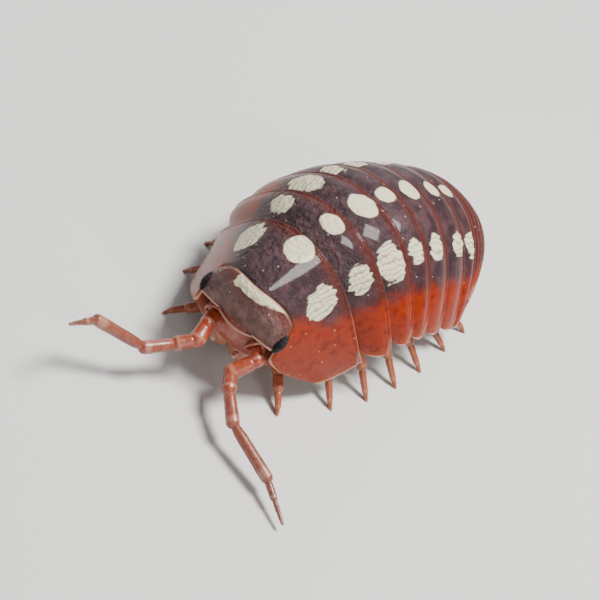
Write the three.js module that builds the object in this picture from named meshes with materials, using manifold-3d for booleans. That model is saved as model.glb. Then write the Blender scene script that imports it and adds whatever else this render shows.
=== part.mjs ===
// A clown woodlouse (pill-bug) of about 17 mm, standing on its fourteen feet with its back arched.
// It faces -Y, its left side is +X, and the feet stand on z = 0. Sizes are in millimetres.
import * as THREE from "three";
import { mergeVertices } from "three/addons/utils/BufferGeometryUtils.js";
import Module from "manifold-3d";

const wasm = await Module();
wasm.setup();

// Driving sizes
const GAP = 0.14; // clearance between two plates, and between a limb and what it grows from
const LIP = 0.34; // how far each back plate reaches over the next one
const LIP_THICK = 0.26; // thickness of that overlapping rim
const LIP_STEP = 0.08; // length of the slope from the belly up to the rim's underside
const TAIL_LIP = 0.24; // the same two sizes on the short rings of the tail
const TAIL_LIP_THICK = 0.18;
const SKIRT_THICK = 0.5; // thickness of the side flaps
const BELLY_LEVEL = 0.7; // depth of the belly, as a share of the depth down to the flaps' edge
const TAIL_BELLY_LEVEL = 0.56;
const TAIL_TUCK = 0.8; // how far the tail's belly leans backwards at its sides, as a share of the back's
const BELLY_SAG = 0.25; // how far the belly hangs down in the middle
const FIRST_FRONT = 0.04; // where the first plate begins, along the crest
const ACROSS = 10; // steps from the crest to a flap's edge
const FRONT_OF_BACK = new THREE.Vector3(-0.9, -4.6, 5.0); // crest of the back where the first plate begins
const YAW_PER_MM = 0.015; // the body's slight bend to the left, in radians
const FLANK_POWER = 0.861; // powers that shape the arch of the back, 1 and 2 being an ellipse
const CREST_POWER = 1.642;
const FLOOR_BOX = 60;
const BOX_CENTRE = new THREE.Vector3(0.08, 0.341, 0); // middle of the whole animal's bounds

// Stations along the crest: distance from the first plate's front,
// and the body's pitch, half width and depth there
const STATIONS = [-1.4, 0, 3.05, 5.04, 7.06, 8.71, 10.57, 12.48, 13.87, 15.2, 16.6, 18.2];
const PITCH_DEG = [29, 23, 15.8, 5.3, -5.3, -13.9, -19, -22, -26, -36, -50, -66];
const HALF_WIDTH = [2.3, 2.92, 3.75, 4.24, 4.4, 4.43, 4.4, 4.3, 4.19, 3.85, 3.4, 2.7];
const DEPTH = [4.85, 4.9, 4.38, 3.98, 3.82, 3.79, 3.81, 3.8, 3.77, 3.4, 2.95, 2.3];
const PLATE_ENDS = [0, 3.05, 5.04, 7.06, 8.71, 10.57, 12.48, 13.87];
const TAIL_ENDS = [13.87, 14.4, 14.95, 15.5, 16.05, 16.6];
const TAIL_TIP = 17.9;

const COLOURS = {
  shell: { color: 0x3a2226, roughness: 0.3, metalness: 0 },
  flesh: { color: 0xd98a6a, roughness: 0.5, metalness: 0 },
  limb: { color: 0xc9745a, roughness: 0.45, metalness: 0 },
  feeler: { color: 0x9a6560, roughness: 0.5, metalness: 0 },
  eye: { color: 0x0c0c0e, roughness: 0.2, metalness: 0 },
};

const clamp01 = (x) => Math.min(1, Math.max(0, x));
const mix = (a, b, t) => a + (b - a) * t;

function smoothstep(a, b, x) {
  const t = clamp01((x - a) / (b - a));
  return t * t * (3 - 2 * t);
}

// A smooth curve through one value per station, with slopes from the neighbours on each side.
function along(values, s) {
  const last = STATIONS.length - 1;
  let i = 0;
  while (i < last - 1 && s > STATIONS[i + 1]) i++;
  const slope = (k) => {
    const a = Math.max(0, k - 1);
    const b = Math.min(last, k + 1);
    return (values[b] - values[a]) / (STATIONS[b] - STATIONS[a]);
  };
  const span = STATIONS[i + 1] - STATIONS[i];
  const t = clamp01((s - STATIONS[i]) / span);
  const rise = t * t * (3 - 2 * t);
  const start = slope(i) * span * t * (1 - t) * (1 - t);
  const end = slope(i + 1) * span * t * t * (t - 1);
  return mix(values[i], values[i + 1], rise) + start + end;
}

// The crest line: a table of points made by walking along the pitch and the yaw.
const CREST_STEP = 0.05;
const FIRST_S = STATIONS[0];
const crestTable = [];

function heading(s) {
  const pitch = THREE.MathUtils.degToRad(along(PITCH_DEG, s));
  const yaw = YAW_PER_MM * s;
  return new THREE.Vector3(
    Math.sin(yaw) * Math.cos(pitch),
    Math.cos(yaw) * Math.cos(pitch),
    Math.sin(pitch),
  );
}

function walkCrest() {
  const point = new THREE.Vector3();
  const steps = Math.round((TAIL_TIP + 0.3 - FIRST_S) / CREST_STEP);
  for (let k = 0; k <= steps; k++) {
    crestTable.push(point.clone());
    point.addScaledVector(heading(FIRST_S + (k + 0.5) * CREST_STEP), CREST_STEP);
  }
  const zero = crestPoint(0);
  for (const p of crestTable) p.sub(zero).add(FRONT_OF_BACK);
}

function crestPoint(s) {
  const at = Math.min(crestTable.length - 1.001, Math.max(0, (s - FIRST_S) / CREST_STEP));
  const k = Math.floor(at);
  return crestTable[k].clone().lerp(crestTable[k + 1], at - k);
}

walkCrest();

// The body's own axes at s: back along the crest, to the animal's left, and out of the back.
function axesAt(s) {
  const back = heading(s);
  const yaw = YAW_PER_MM * s;
  const left = new THREE.Vector3(Math.cos(yaw), -Math.sin(yaw), 0);
  const up = new THREE.Vector3().crossVectors(left, back);
  return { back, left, up };
}

// A point given in the body's own axes: s along the crest, x to the left, y below the crest.
function bodyPoint(s, x, y) {
  const { left, up } = axesAt(s);
  return crestPoint(s).addScaledVector(left, x).addScaledVector(up, -y);
}

// Where the arch lies at one side share and depth: how far to the left, and how far below the crest.
function archOffset(s, side, depth) {
  const angle = (Math.abs(side) * Math.PI) / 2;
  const halfWidth = along(HALF_WIDTH, s) - depth;
  const drop = along(DEPTH, s) - depth;
  const x = Math.sign(side) * halfWidth * Math.sin(angle) ** FLANK_POWER;
  return { x, y: depth + drop * (1 - Math.cos(angle) ** CREST_POWER) };
}

// A point of the arched back: side runs from -1 at the right edge to 1 at the left, depth goes inwards.
function archPoint(s, side, depth) {
  const { x, y } = archOffset(s, side, depth);
  return bodyPoint(s, x, y);
}

// A point of the underside of a ring that goes down to the side share reach: the inner face of
// its flap, then the belly between the flaps.
const FLAP_START = 0.74; // where a flap leaves the belly, as a share of the reach
const BELLY_SHARE = 0.9; // half width of the belly with its flaps, as a share of the back's
function underPoint(s, side, skirt, level, reach) {
  const t = Math.abs(side) / reach;
  const y = along(DEPTH, s) * level;
  const bellyHalf = BELLY_SHARE * archOffset(s, reach, 0).x - skirt;
  if (t >= FLAP_START) {
    const down = (t - FLAP_START) / (1 - FLAP_START);
    const edge = archOffset(s, reach, skirt);
    return bodyPoint(s, Math.sign(side) * mix(bellyHalf, edge.x, down), mix(y, edge.y, down));
  }
  const across = t / FLAP_START;
  return bodyPoint(s, Math.sign(side) * bellyHalf * across, y + BELLY_SAG * (1 - across * across));
}

function geometryOf(vertices, triangles) {
  const geometry = new THREE.BufferGeometry();
  geometry.setAttribute("position", new THREE.Float32BufferAttribute(vertices, 3));
  geometry.setIndex(triangles);
  return geometry;
}

function solidOf(geometry) {
  const bare = geometry.clone();
  for (const name of Object.keys(bare.attributes)) {
    if (name !== "position") bare.deleteAttribute(name);
  }
  const merged = mergeVertices(bare, 1e-4);
  const solid = new wasm.Manifold(
    new wasm.Mesh({
      numProp: 3,
      vertProperties: new Float32Array(merged.attributes.position.array),
      triVerts: new Uint32Array(merged.index.array),
    }),
  );
  return solid;
}

function geometryFrom(solid) {
  const mesh = solid.getMesh();
  return geometryOf(Array.from(mesh.vertProperties), Array.from(mesh.triVerts));
}

// The largest closed surface of a solid, so that a boolean's loose scraps fall away.
function largest(solid) {
  const pieces = solid.decompose();
  return pieces.reduce((best, one) => (one.volume() > best.volume() ? one : best));
}

// A closed sheet between an outer and an inner surface, both functions of column and row.
function slab(outer, inner, columns, rows) {
  const vertices = [];
  const triangles = [];
  const size = (columns + 1) * (rows + 1);
  for (const face of [outer, inner]) {
    for (let r = 0; r <= rows; r++) {
      for (let c = 0; c <= columns; c++) vertices.push(...face(c, r).toArray());
    }
  }
  const at = (layer, c, r) => layer * size + r * (columns + 1) + c;
  const quad = (a, b, c, d) => triangles.push(a, b, c, a, c, d);
  for (let r = 0; r < rows; r++) {
    for (let c = 0; c < columns; c++) {
      quad(at(0, c, r), at(0, c + 1, r), at(0, c + 1, r + 1), at(0, c, r + 1));
      quad(at(1, c, r + 1), at(1, c + 1, r + 1), at(1, c + 1, r), at(1, c, r));
    }
  }
  for (let c = 0; c < columns; c++) {
    quad(at(1, c, 0), at(1, c + 1, 0), at(0, c + 1, 0), at(0, c, 0));
    quad(at(0, c, rows), at(0, c + 1, rows), at(1, c + 1, rows), at(1, c, rows));
  }
  for (let r = 0; r < rows; r++) {
    quad(at(0, 0, r), at(0, 0, r + 1), at(1, 0, r + 1), at(1, 0, r));
    quad(at(1, columns, r), at(1, columns, r + 1), at(0, columns, r + 1), at(0, columns, r));
  }
  return geometryOf(vertices, triangles);
}

// Column c of 2 * ACROSS as a side share, closer together towards the flaps' edges.
function sideOf(c) {
  const u = c / ACROSS - 1;
  return Math.sign(u) * (1 - (1 - Math.abs(u)) ** 1.6);
}

// How far a flap's corner is rounded off at the side share t: 0 on the back, 1 at the flap's edge.
function cornerCut(t, power) {
  return 1 - Math.sqrt(Math.max(0, 1 - t ** power));
}

// One ring of the body: back plate, side flaps and belly in one piece, with a rim over the next ring.
// frontLine and rearLine tell where its margins lie along the crest at each side share.
function ringGeometry({ front, rear, frontLine, rearLine, first, reach, level, lip, thick, tuck }) {
  const inset = thick + GAP; // how far its hidden front lies under the plate before it
  const coreFront = first ? front : front - lip + GAP;
  const coreRear = rear - lip;
  const shown = rear - front;
  const rise = coreRear - front; // the stretch in which the back climbs out from under the plate before it
  const outerRows = [
    [coreFront, first ? 0.3 : inset],
    [first ? front + 0.25 : front + 0.02, first ? 0.1 : inset],
    [front + 0.36 * rise, first ? 0 : 0.45 * inset],
    [front + 0.68 * rise, first ? 0 : 0.1 * inset],
    [coreRear - LIP_STEP, 0],
    [coreRear, 0],
    [rear, 0],
  ];
  const innerRows = [
    [coreFront, "belly"],
    [outerRows[1][0], "belly"],
    [outerRows[2][0], "belly"],
    [outerRows[3][0], "belly"],
    [coreRear - LIP_STEP, "belly"],
    [coreRear, "rim"],
    [rear, "rim"],
  ];
  const placeS = (s, side) => {
    const t = Math.abs(side);
    return mix(frontLine(t), rearLine(t), (s - front) / shown);
  };
  const outer = (c, r) => {
    const side = sideOf(c) * reach;
    return archPoint(placeS(outerRows[r][0], side), side, outerRows[r][1]);
  };
  const inner = (c, r) => {
    const side = sideOf(c) * reach;
    const [s, kind] = innerRows[r];
    if (kind === "rim") return archPoint(placeS(s, side), side, thick);
    const tucked = side * mix(tuck, 1, smoothstep(FLAP_START, 1, Math.abs(side)));
    return underPoint(placeS(s, tucked), side, outerRows[r][1] + SKIRT_THICK, level, reach);
  };
  return slab(outer, inner, 2 * ACROSS, innerRows.length - 1);
}

// The flaps sweep backwards, and their lower corners are rounded off by a share of the plate's length.
const SWEEP = [0.7, 1.0, 0.75, 1.0, 1.1, 1.0, 0.5];
const REAR_ROUND = [0.1, 0.4, 0.4, 0.4, 0.4, 0.4, 0.25];
const FRONT_ROUND = [0, 0.2, 0.2, 0.2, 0.2, 0.2, 0.1];

// The first plate's front edge bows back over the head, reaches forward in a lobe below each eye
// and then slants back to the flap's lower edge.
function firstFront(t) {
  const overHead = FIRST_FRONT + 0.33 * smoothstep(0, 0.3, t);
  return overHead - 1.35 * smoothstep(0.345, 0.535, t) + 2.0 * smoothstep(0.53, 1, t);
}

function pereonRings() {
  const rings = [];
  for (let i = 0; i < 7; i++) {
    const [start, rear] = [PLATE_ENDS[i], PLATE_ENDS[i + 1]];
    const frontCut = FRONT_ROUND[i] * (rear - start);
    const rearCut = REAR_ROUND[i] * (rear - start);
    const laterFront = (t) => start + SWEEP[i - 1] * t ** 4 + frontCut * cornerCut(t, 7);
    const geometry = ringGeometry({
      front: i === 0 ? FIRST_FRONT : start,
      rear,
      frontLine: i === 0 ? firstFront : laterFront,
      rearLine: (t) => rear + SWEEP[i] * t ** 4 - rearCut * cornerCut(t, 9),
      first: i === 0,
      reach: 1,
      level: BELLY_LEVEL,
      lip: LIP,
      thick: LIP_THICK,
      tuck: 1,
    });
    rings.push([`tergite_${i + 1}`, geometry]);
  }
  return rings;
}

// The side flaps of the last three tail rings lean backwards, and those of the first two stay hidden.
const TAIL_REACH = [0.7, 0.7, 0.98, 0.98, 0.98];
const TAIL_ROUND = 0.1; // how far both corners are rounded off, as a share of the ring's length
const tailSweep = (s, t) => 0.5 * smoothstep(14.6, 16, s) * t ** 3;

function tailRings() {
  const rings = [];
  for (let i = 0; i < 5; i++) {
    const [front, rear] = [TAIL_ENDS[i], TAIL_ENDS[i + 1]];
    const cut = TAIL_ROUND * (rear - front);
    const geometry = ringGeometry({
      front,
      rear,
      frontLine: (t) => front + tailSweep(front, t) + cut * cornerCut(t, 7),
      rearLine: (t) => rear + tailSweep(rear, t) - cut * cornerCut(t, 7),
      first: false,
      reach: TAIL_REACH[i],
      level: TAIL_BELLY_LEVEL,
      lip: TAIL_LIP,
      thick: TAIL_LIP_THICK,
      tuck: TAIL_TUCK,
    });
    rings.push([`pleonite_${i + 1}`, geometry]);
  }
  return rings;
}

// An ellipsoid-like block with squarer sides, set by its three half axes as vectors.
function block(centre, ax, ay, az, power, around = 20, down = 12, dome = 0) {
  const sphere = new THREE.SphereGeometry(1, around, down);
  const position = sphere.attributes.position;
  const shape = (v) => Math.sign(v) * Math.abs(v) ** power;
  const p = new THREE.Vector3();
  for (let k = 0; k < position.count; k++) {
    p.fromBufferAttribute(position, k);
    const moved = centre.clone();
    moved.addScaledVector(ax, shape(p.x));
    moved.addScaledVector(ay, shape(p.y));
    moved.addScaledVector(az, shape(p.z) * (1 + dome * Math.max(0, p.z) * (1 - shape(p.x) ** 2)));
    position.setXYZ(k, moved.x, moved.y, moved.z);
  }
  return sphere;
}

// A jointed limb: each article is a tapered, slightly swollen tube, and they are fused end to end.
function limb(points, radii, sides = 6) {
  const pieces = [];
  for (let k = 0; k + 1 < points.length; k++) {
    const axis = points[k + 1].clone().sub(points[k]);
    const length = axis.length();
    const [r0, r1] = radii[k];
    const overlap = 0.5 * r0;
    const start = points[k].clone().addScaledVector(axis.normalize(), k === 0 ? 0 : -overlap);
    const reach = length + (k === 0 ? 0 : overlap);
    const profile = [
      new THREE.Vector2(0, 0),
      new THREE.Vector2(r0 * 0.85, 0),
      new THREE.Vector2(mix(r0, r1, 0.5) * 1.04, reach * 0.4),
      new THREE.Vector2(r1 * 1.06, reach * 0.85),
      new THREE.Vector2(r1 * 0.8, reach),
      new THREE.Vector2(0, reach),
    ];
    const tube = new THREE.LatheGeometry(profile, sides);
    const turn = new THREE.Quaternion().setFromUnitVectors(new THREE.Vector3(0, 1, 0), axis);
    tube.applyQuaternion(turn).translate(start.x, start.y, start.z);
    pieces.push(solidOf(tube));
  }
  return pieces.reduce((whole, piece) => whole.add(piece));
}

// Head: its flat top faces forwards and up, and a lower block under the front ridge carries the feelers
const HEAD_CENTRE = new THREE.Vector3(-0.9, -3.42, 3.02);
const HEAD_SLOPE_DEG = 51; // how steeply the head's top falls towards its front ridge
const HEAD_HALF = new THREE.Vector3(1.92, 0.85, 1.12); // across, front to back, thickness
const HEAD_DOME = 0.45; // how far the head's top rises in the middle, as a share of its half thickness
const HEAD_POWER = 0.45;
const FRONS_CENTRE = new THREE.Vector3(-0.9, -3.95, 2.45);
const FRONS_HALF = new THREE.Vector3(1.45, 0.66, 0.78);
const JAW_CENTRE = new THREE.Vector3(0.52, -3.75, 1.62); // half spacing, then place along y and z
const JAW_HALF = new THREE.Vector3(0.6, 0.6, 0.62);
const MIDDLE_X = HEAD_CENTRE.x;

function headAxes() {
  const slope = THREE.MathUtils.degToRad(HEAD_SLOPE_DEG);
  const left = new THREE.Vector3(1, 0, 0);
  const toBack = new THREE.Vector3(0, Math.cos(slope), Math.sin(slope));
  const faceUp = new THREE.Vector3(0, -Math.sin(slope), Math.cos(slope));
  return { left, toBack, faceUp };
}

function uprightBlock(centre, half, grow, power, around, down) {
  return solidOf(
    block(
      centre,
      new THREE.Vector3(half.x + grow, 0, 0),
      new THREE.Vector3(0, half.y + grow, 0),
      new THREE.Vector3(0, 0, half.z + grow),
      power,
      around,
      down,
    ),
  );
}

function headBlock(grow) {
  const { left, toBack, faceUp } = headAxes();
  const cap = solidOf(
    block(
      HEAD_CENTRE,
      left.multiplyScalar(HEAD_HALF.x + grow),
      toBack.multiplyScalar(HEAD_HALF.y + grow),
      faceUp.multiplyScalar(HEAD_HALF.z + grow),
      HEAD_POWER,
      24,
      14,
      HEAD_DOME,
    ),
  );
  return cap.add(uprightBlock(FRONS_CENTRE, FRONS_HALF, grow, 0.8, 16, 10));
}

const EYE_CENTRE = new THREE.Vector3(1.76, -4.16, 3.4); // half spacing, then place along y and z
const EYE_RADIUS = 0.36;
function eyeSolid(side, grow = 0) {
  const centre = new THREE.Vector3(MIDDLE_X + side * EYE_CENTRE.x, EYE_CENTRE.y, EYE_CENTRE.z);
  const r = EYE_RADIUS + grow;
  return uprightBlock(centre, new THREE.Vector3(r * 0.85, r * 1.05, r), 0, 1, 12, 8);
}

// Feelers: places of the joints, from the head outwards
const FEELERS = {
  right: [
    [-1.85, -4.45, 2.6],
    [-1.67, -5.12, 2.47],
    [-1.51, -5.76, 2.13],
    [-1.95, -6.31, 1.83],
    [-2.63, -7.47, 1.69],
    [-4.22, -8.93, 2.6],
    [-4.46, -10.57, 3.18],
  ],
  left: [
    [0.1, -4.45, 2.6],
    [0.61, -4.72, 2.37],
    [0.17, -5.46, 1.74],
    [0.6, -6.06, 1.6],
    [1.62, -6.89, 1.22],
    [3.95, -7.47, 0.83],
    [5.54, -8.28, 0.4],
  ],
};
const FEELER_RADII = [
  [0.3, 0.33],
  [0.33, 0.33],
  [0.29, 0.29],
  [0.25, 0.27],
  [0.25, 0.25],
  [0.23, 0.09],
];

function ball(centre, radius) {
  const sphere = new THREE.SphereGeometry(radius, 10, 7);
  return solidOf(sphere.translate(centre.x, centre.y, centre.z));
}

function feelerNodes(name) {
  const joints = FEELERS[name].map(([x, y, z]) => new THREE.Vector3(x, y, z));
  const socket = headBlock(GAP).add(mouthSolid(GAP));
  const knob = (k) => ball(joints[k], FEELER_RADII[k - 1][1]);
  const hollow = (k) => ball(joints[k], FEELER_RADII[k - 1][1] + GAP);
  const base = limb(joints.slice(0, 4), FEELER_RADII.slice(0, 3)).add(knob(3)).subtract(socket);
  const fourth = limb(joints.slice(3, 5), [FEELER_RADII[3]]).add(knob(4)).subtract(hollow(3));
  const fifth = limb(joints.slice(4, 6), [FEELER_RADII[4]]).add(knob(5)).subtract(hollow(4));
  const lash = limb(joints.slice(5, 7), [FEELER_RADII[5]]).subtract(hollow(5));
  return [
    [`antenna_${name}_base`, largest(base)],
    [`antenna_${name}_article_4`, largest(fourth)],
    [`antenna_${name}_article_5`, largest(fifth)],
    [`antenna_${name}_flagellum`, largest(lash)],
  ];
}

// Mouthparts: two long jaw-feet side by side under the head
function mouthSolid(grow = 0) {
  const parts = [-1, 1].map((side) => {
    const centre = new THREE.Vector3(MIDDLE_X + side * JAW_CENTRE.x, JAW_CENTRE.y, JAW_CENTRE.z);
    return uprightBlock(centre, JAW_HALF, grow, 0.85, 12, 8);
  });
  return parts[0].add(parts[1]);
}

// Legs: per pair, how far the foot stands out past the flap, and how far before or behind its root
const FOOT_OUT = [-0.3, 0.1, 0.3, 0.45, 0.45, 0.3, 0.1];
const FOOT_AHEAD = [-1.5, -1.0, -0.5, 0.0, 0.5, 1.0, 1.4];
const LEG_RADII = [
  [0.27, 0.33],
  [0.3, 0.3],
  [0.29, 0.28],
  [0.27, 0.25],
  [0.25, 0.2],
  [0.17, 0.12],
];

function legJoints(i, side) {
  const s = mix(PLATE_ENDS[i], PLATE_ENDS[i + 1], 0.5) - LIP / 2;
  const half = along(HALF_WIDTH, s);
  const belly = along(DEPTH, s) * BELLY_LEVEL;
  const root = bodyPoint(s, side * (half - 1.5), belly + 0.2 + 2 * GAP);
  const foot = bodyPoint(s, side * (half + FOOT_OUT[i]), belly);
  foot.y += FOOT_AHEAD[i];
  foot.z = 0;
  const inward = root.clone().lerp(bodyPoint(s, 0, belly), 0.36);
  const knee = inward.setZ(mix(root.z, 0, 0.42));
  knee.y = mix(root.y, foot.y, 0.12);
  const mid = knee.clone().lerp(foot, 0.42);
  mid.z = Math.max(knee.z * 0.86, 0.75);
  const turn = root.clone().lerp(knee, 0.55);
  const shin = mid.clone().lerp(foot, 0.42);
  shin.z = mix(mid.z, 0, 0.36);
  const merus = knee.clone().lerp(mid, 0.5);
  const tip = shin.clone().lerp(foot, 0.75);
  tip.z = Math.max(0.24, tip.z);
  return [root, turn, knee, merus, mid, shin, tip, foot];
}

function legNodes(i, side, name) {
  const [root, turn, knee, merus, mid, shin, tip, foot] = legJoints(i, side);
  const kneeRadius = LEG_RADII[1][1];
  const thigh = limb([root, turn, knee], [LEG_RADII[0], LEG_RADII[1]]);
  const upper = thigh.add(ball(knee, kneeRadius));
  const toe = foot.clone().setZ(-0.12);
  const lowerRadii = [LEG_RADII[2], LEG_RADII[2], LEG_RADII[3], LEG_RADII[4], LEG_RADII[5]];
  const shank = limb([knee, merus, mid, shin, tip, toe], lowerRadii);
  const floor = new THREE.BoxGeometry(FLOOR_BOX, FLOOR_BOX, 2).translate(0, 0, -1);
  const room = thigh.add(ball(knee, kneeRadius + GAP));
  return [
    [`leg_${name}_${i + 1}_upper`, upper],
    [`leg_${name}_${i + 1}_lower`, largest(shank.subtract(solidOf(floor)).subtract(room))],
  ];
}

// Tail shield and the two side paddles that close the outline behind the last ring
const TAIL_PLATE_DEPTH = 0.22; // how far they lie under the arch of the back
const SHIELD = { side: 0.32, narrowing: 0.5, thick: 0.7 };
const PADDLE = { inner: 0.37, outer: 0.68, narrowing: 0.8, thick: 0.6, shorter: 0.1 };
function tailPlate(fromSide, toSide, start, tip, narrowing, thick) {
  const columns = 8;
  const rows = 6;
  const place = (c, r) => {
    const v = r / rows;
    const u = (c / columns) * 2 - 1;
    const centre = (fromSide + toSide) / 2;
    const half = ((toSide - fromSide) / 2) * mix(1, narrowing, v);
    const s = mix(start, tip - 0.25 * u * u * v, v);
    return [s, centre + u * half];
  };
  const outer = (c, r) => {
    const [s, side] = place(c, r);
    return archPoint(s, side, TAIL_PLATE_DEPTH);
  };
  const inner = (c, r) => {
    const [s, side] = place(c, r);
    return archPoint(s, side, TAIL_PLATE_DEPTH + thick);
  };
  return slab(outer, inner, columns, rows);
}

// Gill plates: five overlapping leaves on each side of the tail's underside, the rear ones smaller
const GILL_DEPTH = 0.9; // how far their middles lie under the tail's belly
function pleopodSolid(side) {
  const leaves = [];
  for (let i = 0; i < 5; i++) {
    const s = mix(TAIL_ENDS[0] + 0.3, TAIL_ENDS[5], (i + 0.6) / 5);
    const { back, left, up } = axesAt(s);
    const level = along(DEPTH, s) * TAIL_BELLY_LEVEL + GILL_DEPTH;
    const leaf = block(
      bodyPoint(s, side * (1.12 - 0.06 * i), level),
      left.clone().multiplyScalar(0.95 - 0.07 * i),
      back.clone().multiplyScalar(0.62).addScaledVector(up, -0.14),
      up.clone().multiplyScalar(0.26),
      0.9,
      10,
      6,
    );
    leaves.push(solidOf(leaf));
  }
  return leaves.reduce((whole, leaf) => whole.add(leaf));
}

const woodlouse = new THREE.Group();

function addNode(name, shape, colours) {
  const geometry = shape instanceof THREE.BufferGeometry ? shape : geometryFrom(shape);
  const mesh = new THREE.Mesh(geometry, new THREE.MeshStandardMaterial(colours));
  mesh.name = name;
  woodlouse.add(mesh);
}

function build() {
  const head = headBlock(0);
  const eyes = { left: eyeSolid(1), right: eyeSolid(-1) };
  const mouth = mouthSolid();
  const bareHead = head.subtract(eyeSolid(1, GAP)).subtract(eyeSolid(-1, GAP));
  addNode("head", largest(bareHead), COLOURS.shell);
  addNode("eye_left", eyes.left, COLOURS.eye);
  addNode("eye_right", eyes.right, COLOURS.eye);
  addNode("mouthparts", largest(mouth.subtract(headBlock(GAP))), COLOURS.flesh);
  const well = headBlock(GAP).add(mouthSolid(GAP)).add(eyeSolid(1, GAP)).add(eyeSolid(-1, GAP));
  for (const [name, geometry] of pereonRings()) {
    const solid = name === "tergite_1" ? largest(solidOf(geometry).subtract(well)) : geometry;
    addNode(name, solid, COLOURS.shell);
  }
  for (const [name, geometry] of tailRings()) addNode(name, geometry, COLOURS.shell);
  const lastRing = TAIL_ENDS[5] + GAP;
  const shield = tailPlate(-SHIELD.side, SHIELD.side, lastRing, TAIL_TIP, SHIELD.narrowing, SHIELD.thick);
  addNode("telson", shield, COLOURS.shell);
  for (const [name, side] of [["left", 1], ["right", -1]]) {
    const [low, high] = [side * PADDLE.inner, side * PADDLE.outer].sort((a, b) => a - b);
    const paddleTip = TAIL_TIP - PADDLE.shorter;
    const paddle = tailPlate(low, high, lastRing, paddleTip, PADDLE.narrowing, PADDLE.thick);
    addNode(`uropod_${name}`, paddle, COLOURS.shell);
    addNode(`pleopods_${name}`, pleopodSolid(side), COLOURS.flesh);
    for (const [node, solid] of feelerNodes(name)) addNode(node, solid, COLOURS.feeler);
    for (let i = 0; i < 7; i++) {
      for (const [node, solid] of legNodes(i, side, name)) addNode(node, solid, COLOURS.limb);
    }
  }
}

build();
woodlouse.position.copy(BOX_CENTRE).negate();

export default woodlouse;
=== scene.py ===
"""The looks of a life-size clown woodlouse that stands with its back arched.

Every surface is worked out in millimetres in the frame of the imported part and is
written to Blender in metres. The animal faces -Y and its left side is +X.
"""

import logging
import math
from collections.abc import Callable
from dataclasses import dataclass, field
from enum import Enum

import bpy
import numpy as np
from mathutils import Matrix


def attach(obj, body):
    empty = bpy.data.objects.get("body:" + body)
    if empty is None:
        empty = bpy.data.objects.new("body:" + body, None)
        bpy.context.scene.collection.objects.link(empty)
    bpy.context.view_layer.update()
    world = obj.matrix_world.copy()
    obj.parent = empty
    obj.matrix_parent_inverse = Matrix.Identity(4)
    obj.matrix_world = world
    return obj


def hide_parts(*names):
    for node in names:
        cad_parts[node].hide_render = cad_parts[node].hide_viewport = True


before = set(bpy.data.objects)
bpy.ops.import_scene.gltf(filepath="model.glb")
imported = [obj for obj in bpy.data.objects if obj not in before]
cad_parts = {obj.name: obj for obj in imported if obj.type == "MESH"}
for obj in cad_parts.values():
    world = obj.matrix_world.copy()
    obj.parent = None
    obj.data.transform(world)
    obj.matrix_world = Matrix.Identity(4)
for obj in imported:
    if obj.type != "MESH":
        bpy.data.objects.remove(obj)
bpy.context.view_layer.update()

log = logging.getLogger("woodlouse")
MM = 0.001
BODY = "root"
FAR = 9.0
UPRIGHT = (0.05, 0.1, 1.0)
Colour = tuple[float, float, float]


class Side(Enum):
    """The two sides of the animal, with the sign of their X."""

    LEFT = 1
    RIGHT = -1

    @property
    def word(self) -> str:
        """The side's name as the nodes spell it."""
        return self.name.lower()


def smoothstep(low: float, high: float, x: np.ndarray) -> np.ndarray:
    """Eases from 0 at low to 1 at high, flat at both ends."""
    t = np.clip((np.asarray(x, float) - low) / (high - low), 0, 1)
    return t * t * (3 - 2 * t)


def mix(a: np.ndarray, b: np.ndarray, t: np.ndarray) -> np.ndarray:
    """Goes straight from a to b as t goes from 0 to 1."""
    return a + (b - a) * t


def apart(a: np.ndarray, b: np.ndarray) -> np.ndarray:
    """Distances between the points of two arrays."""
    return np.linalg.norm(a - b, axis=-1)


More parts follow.
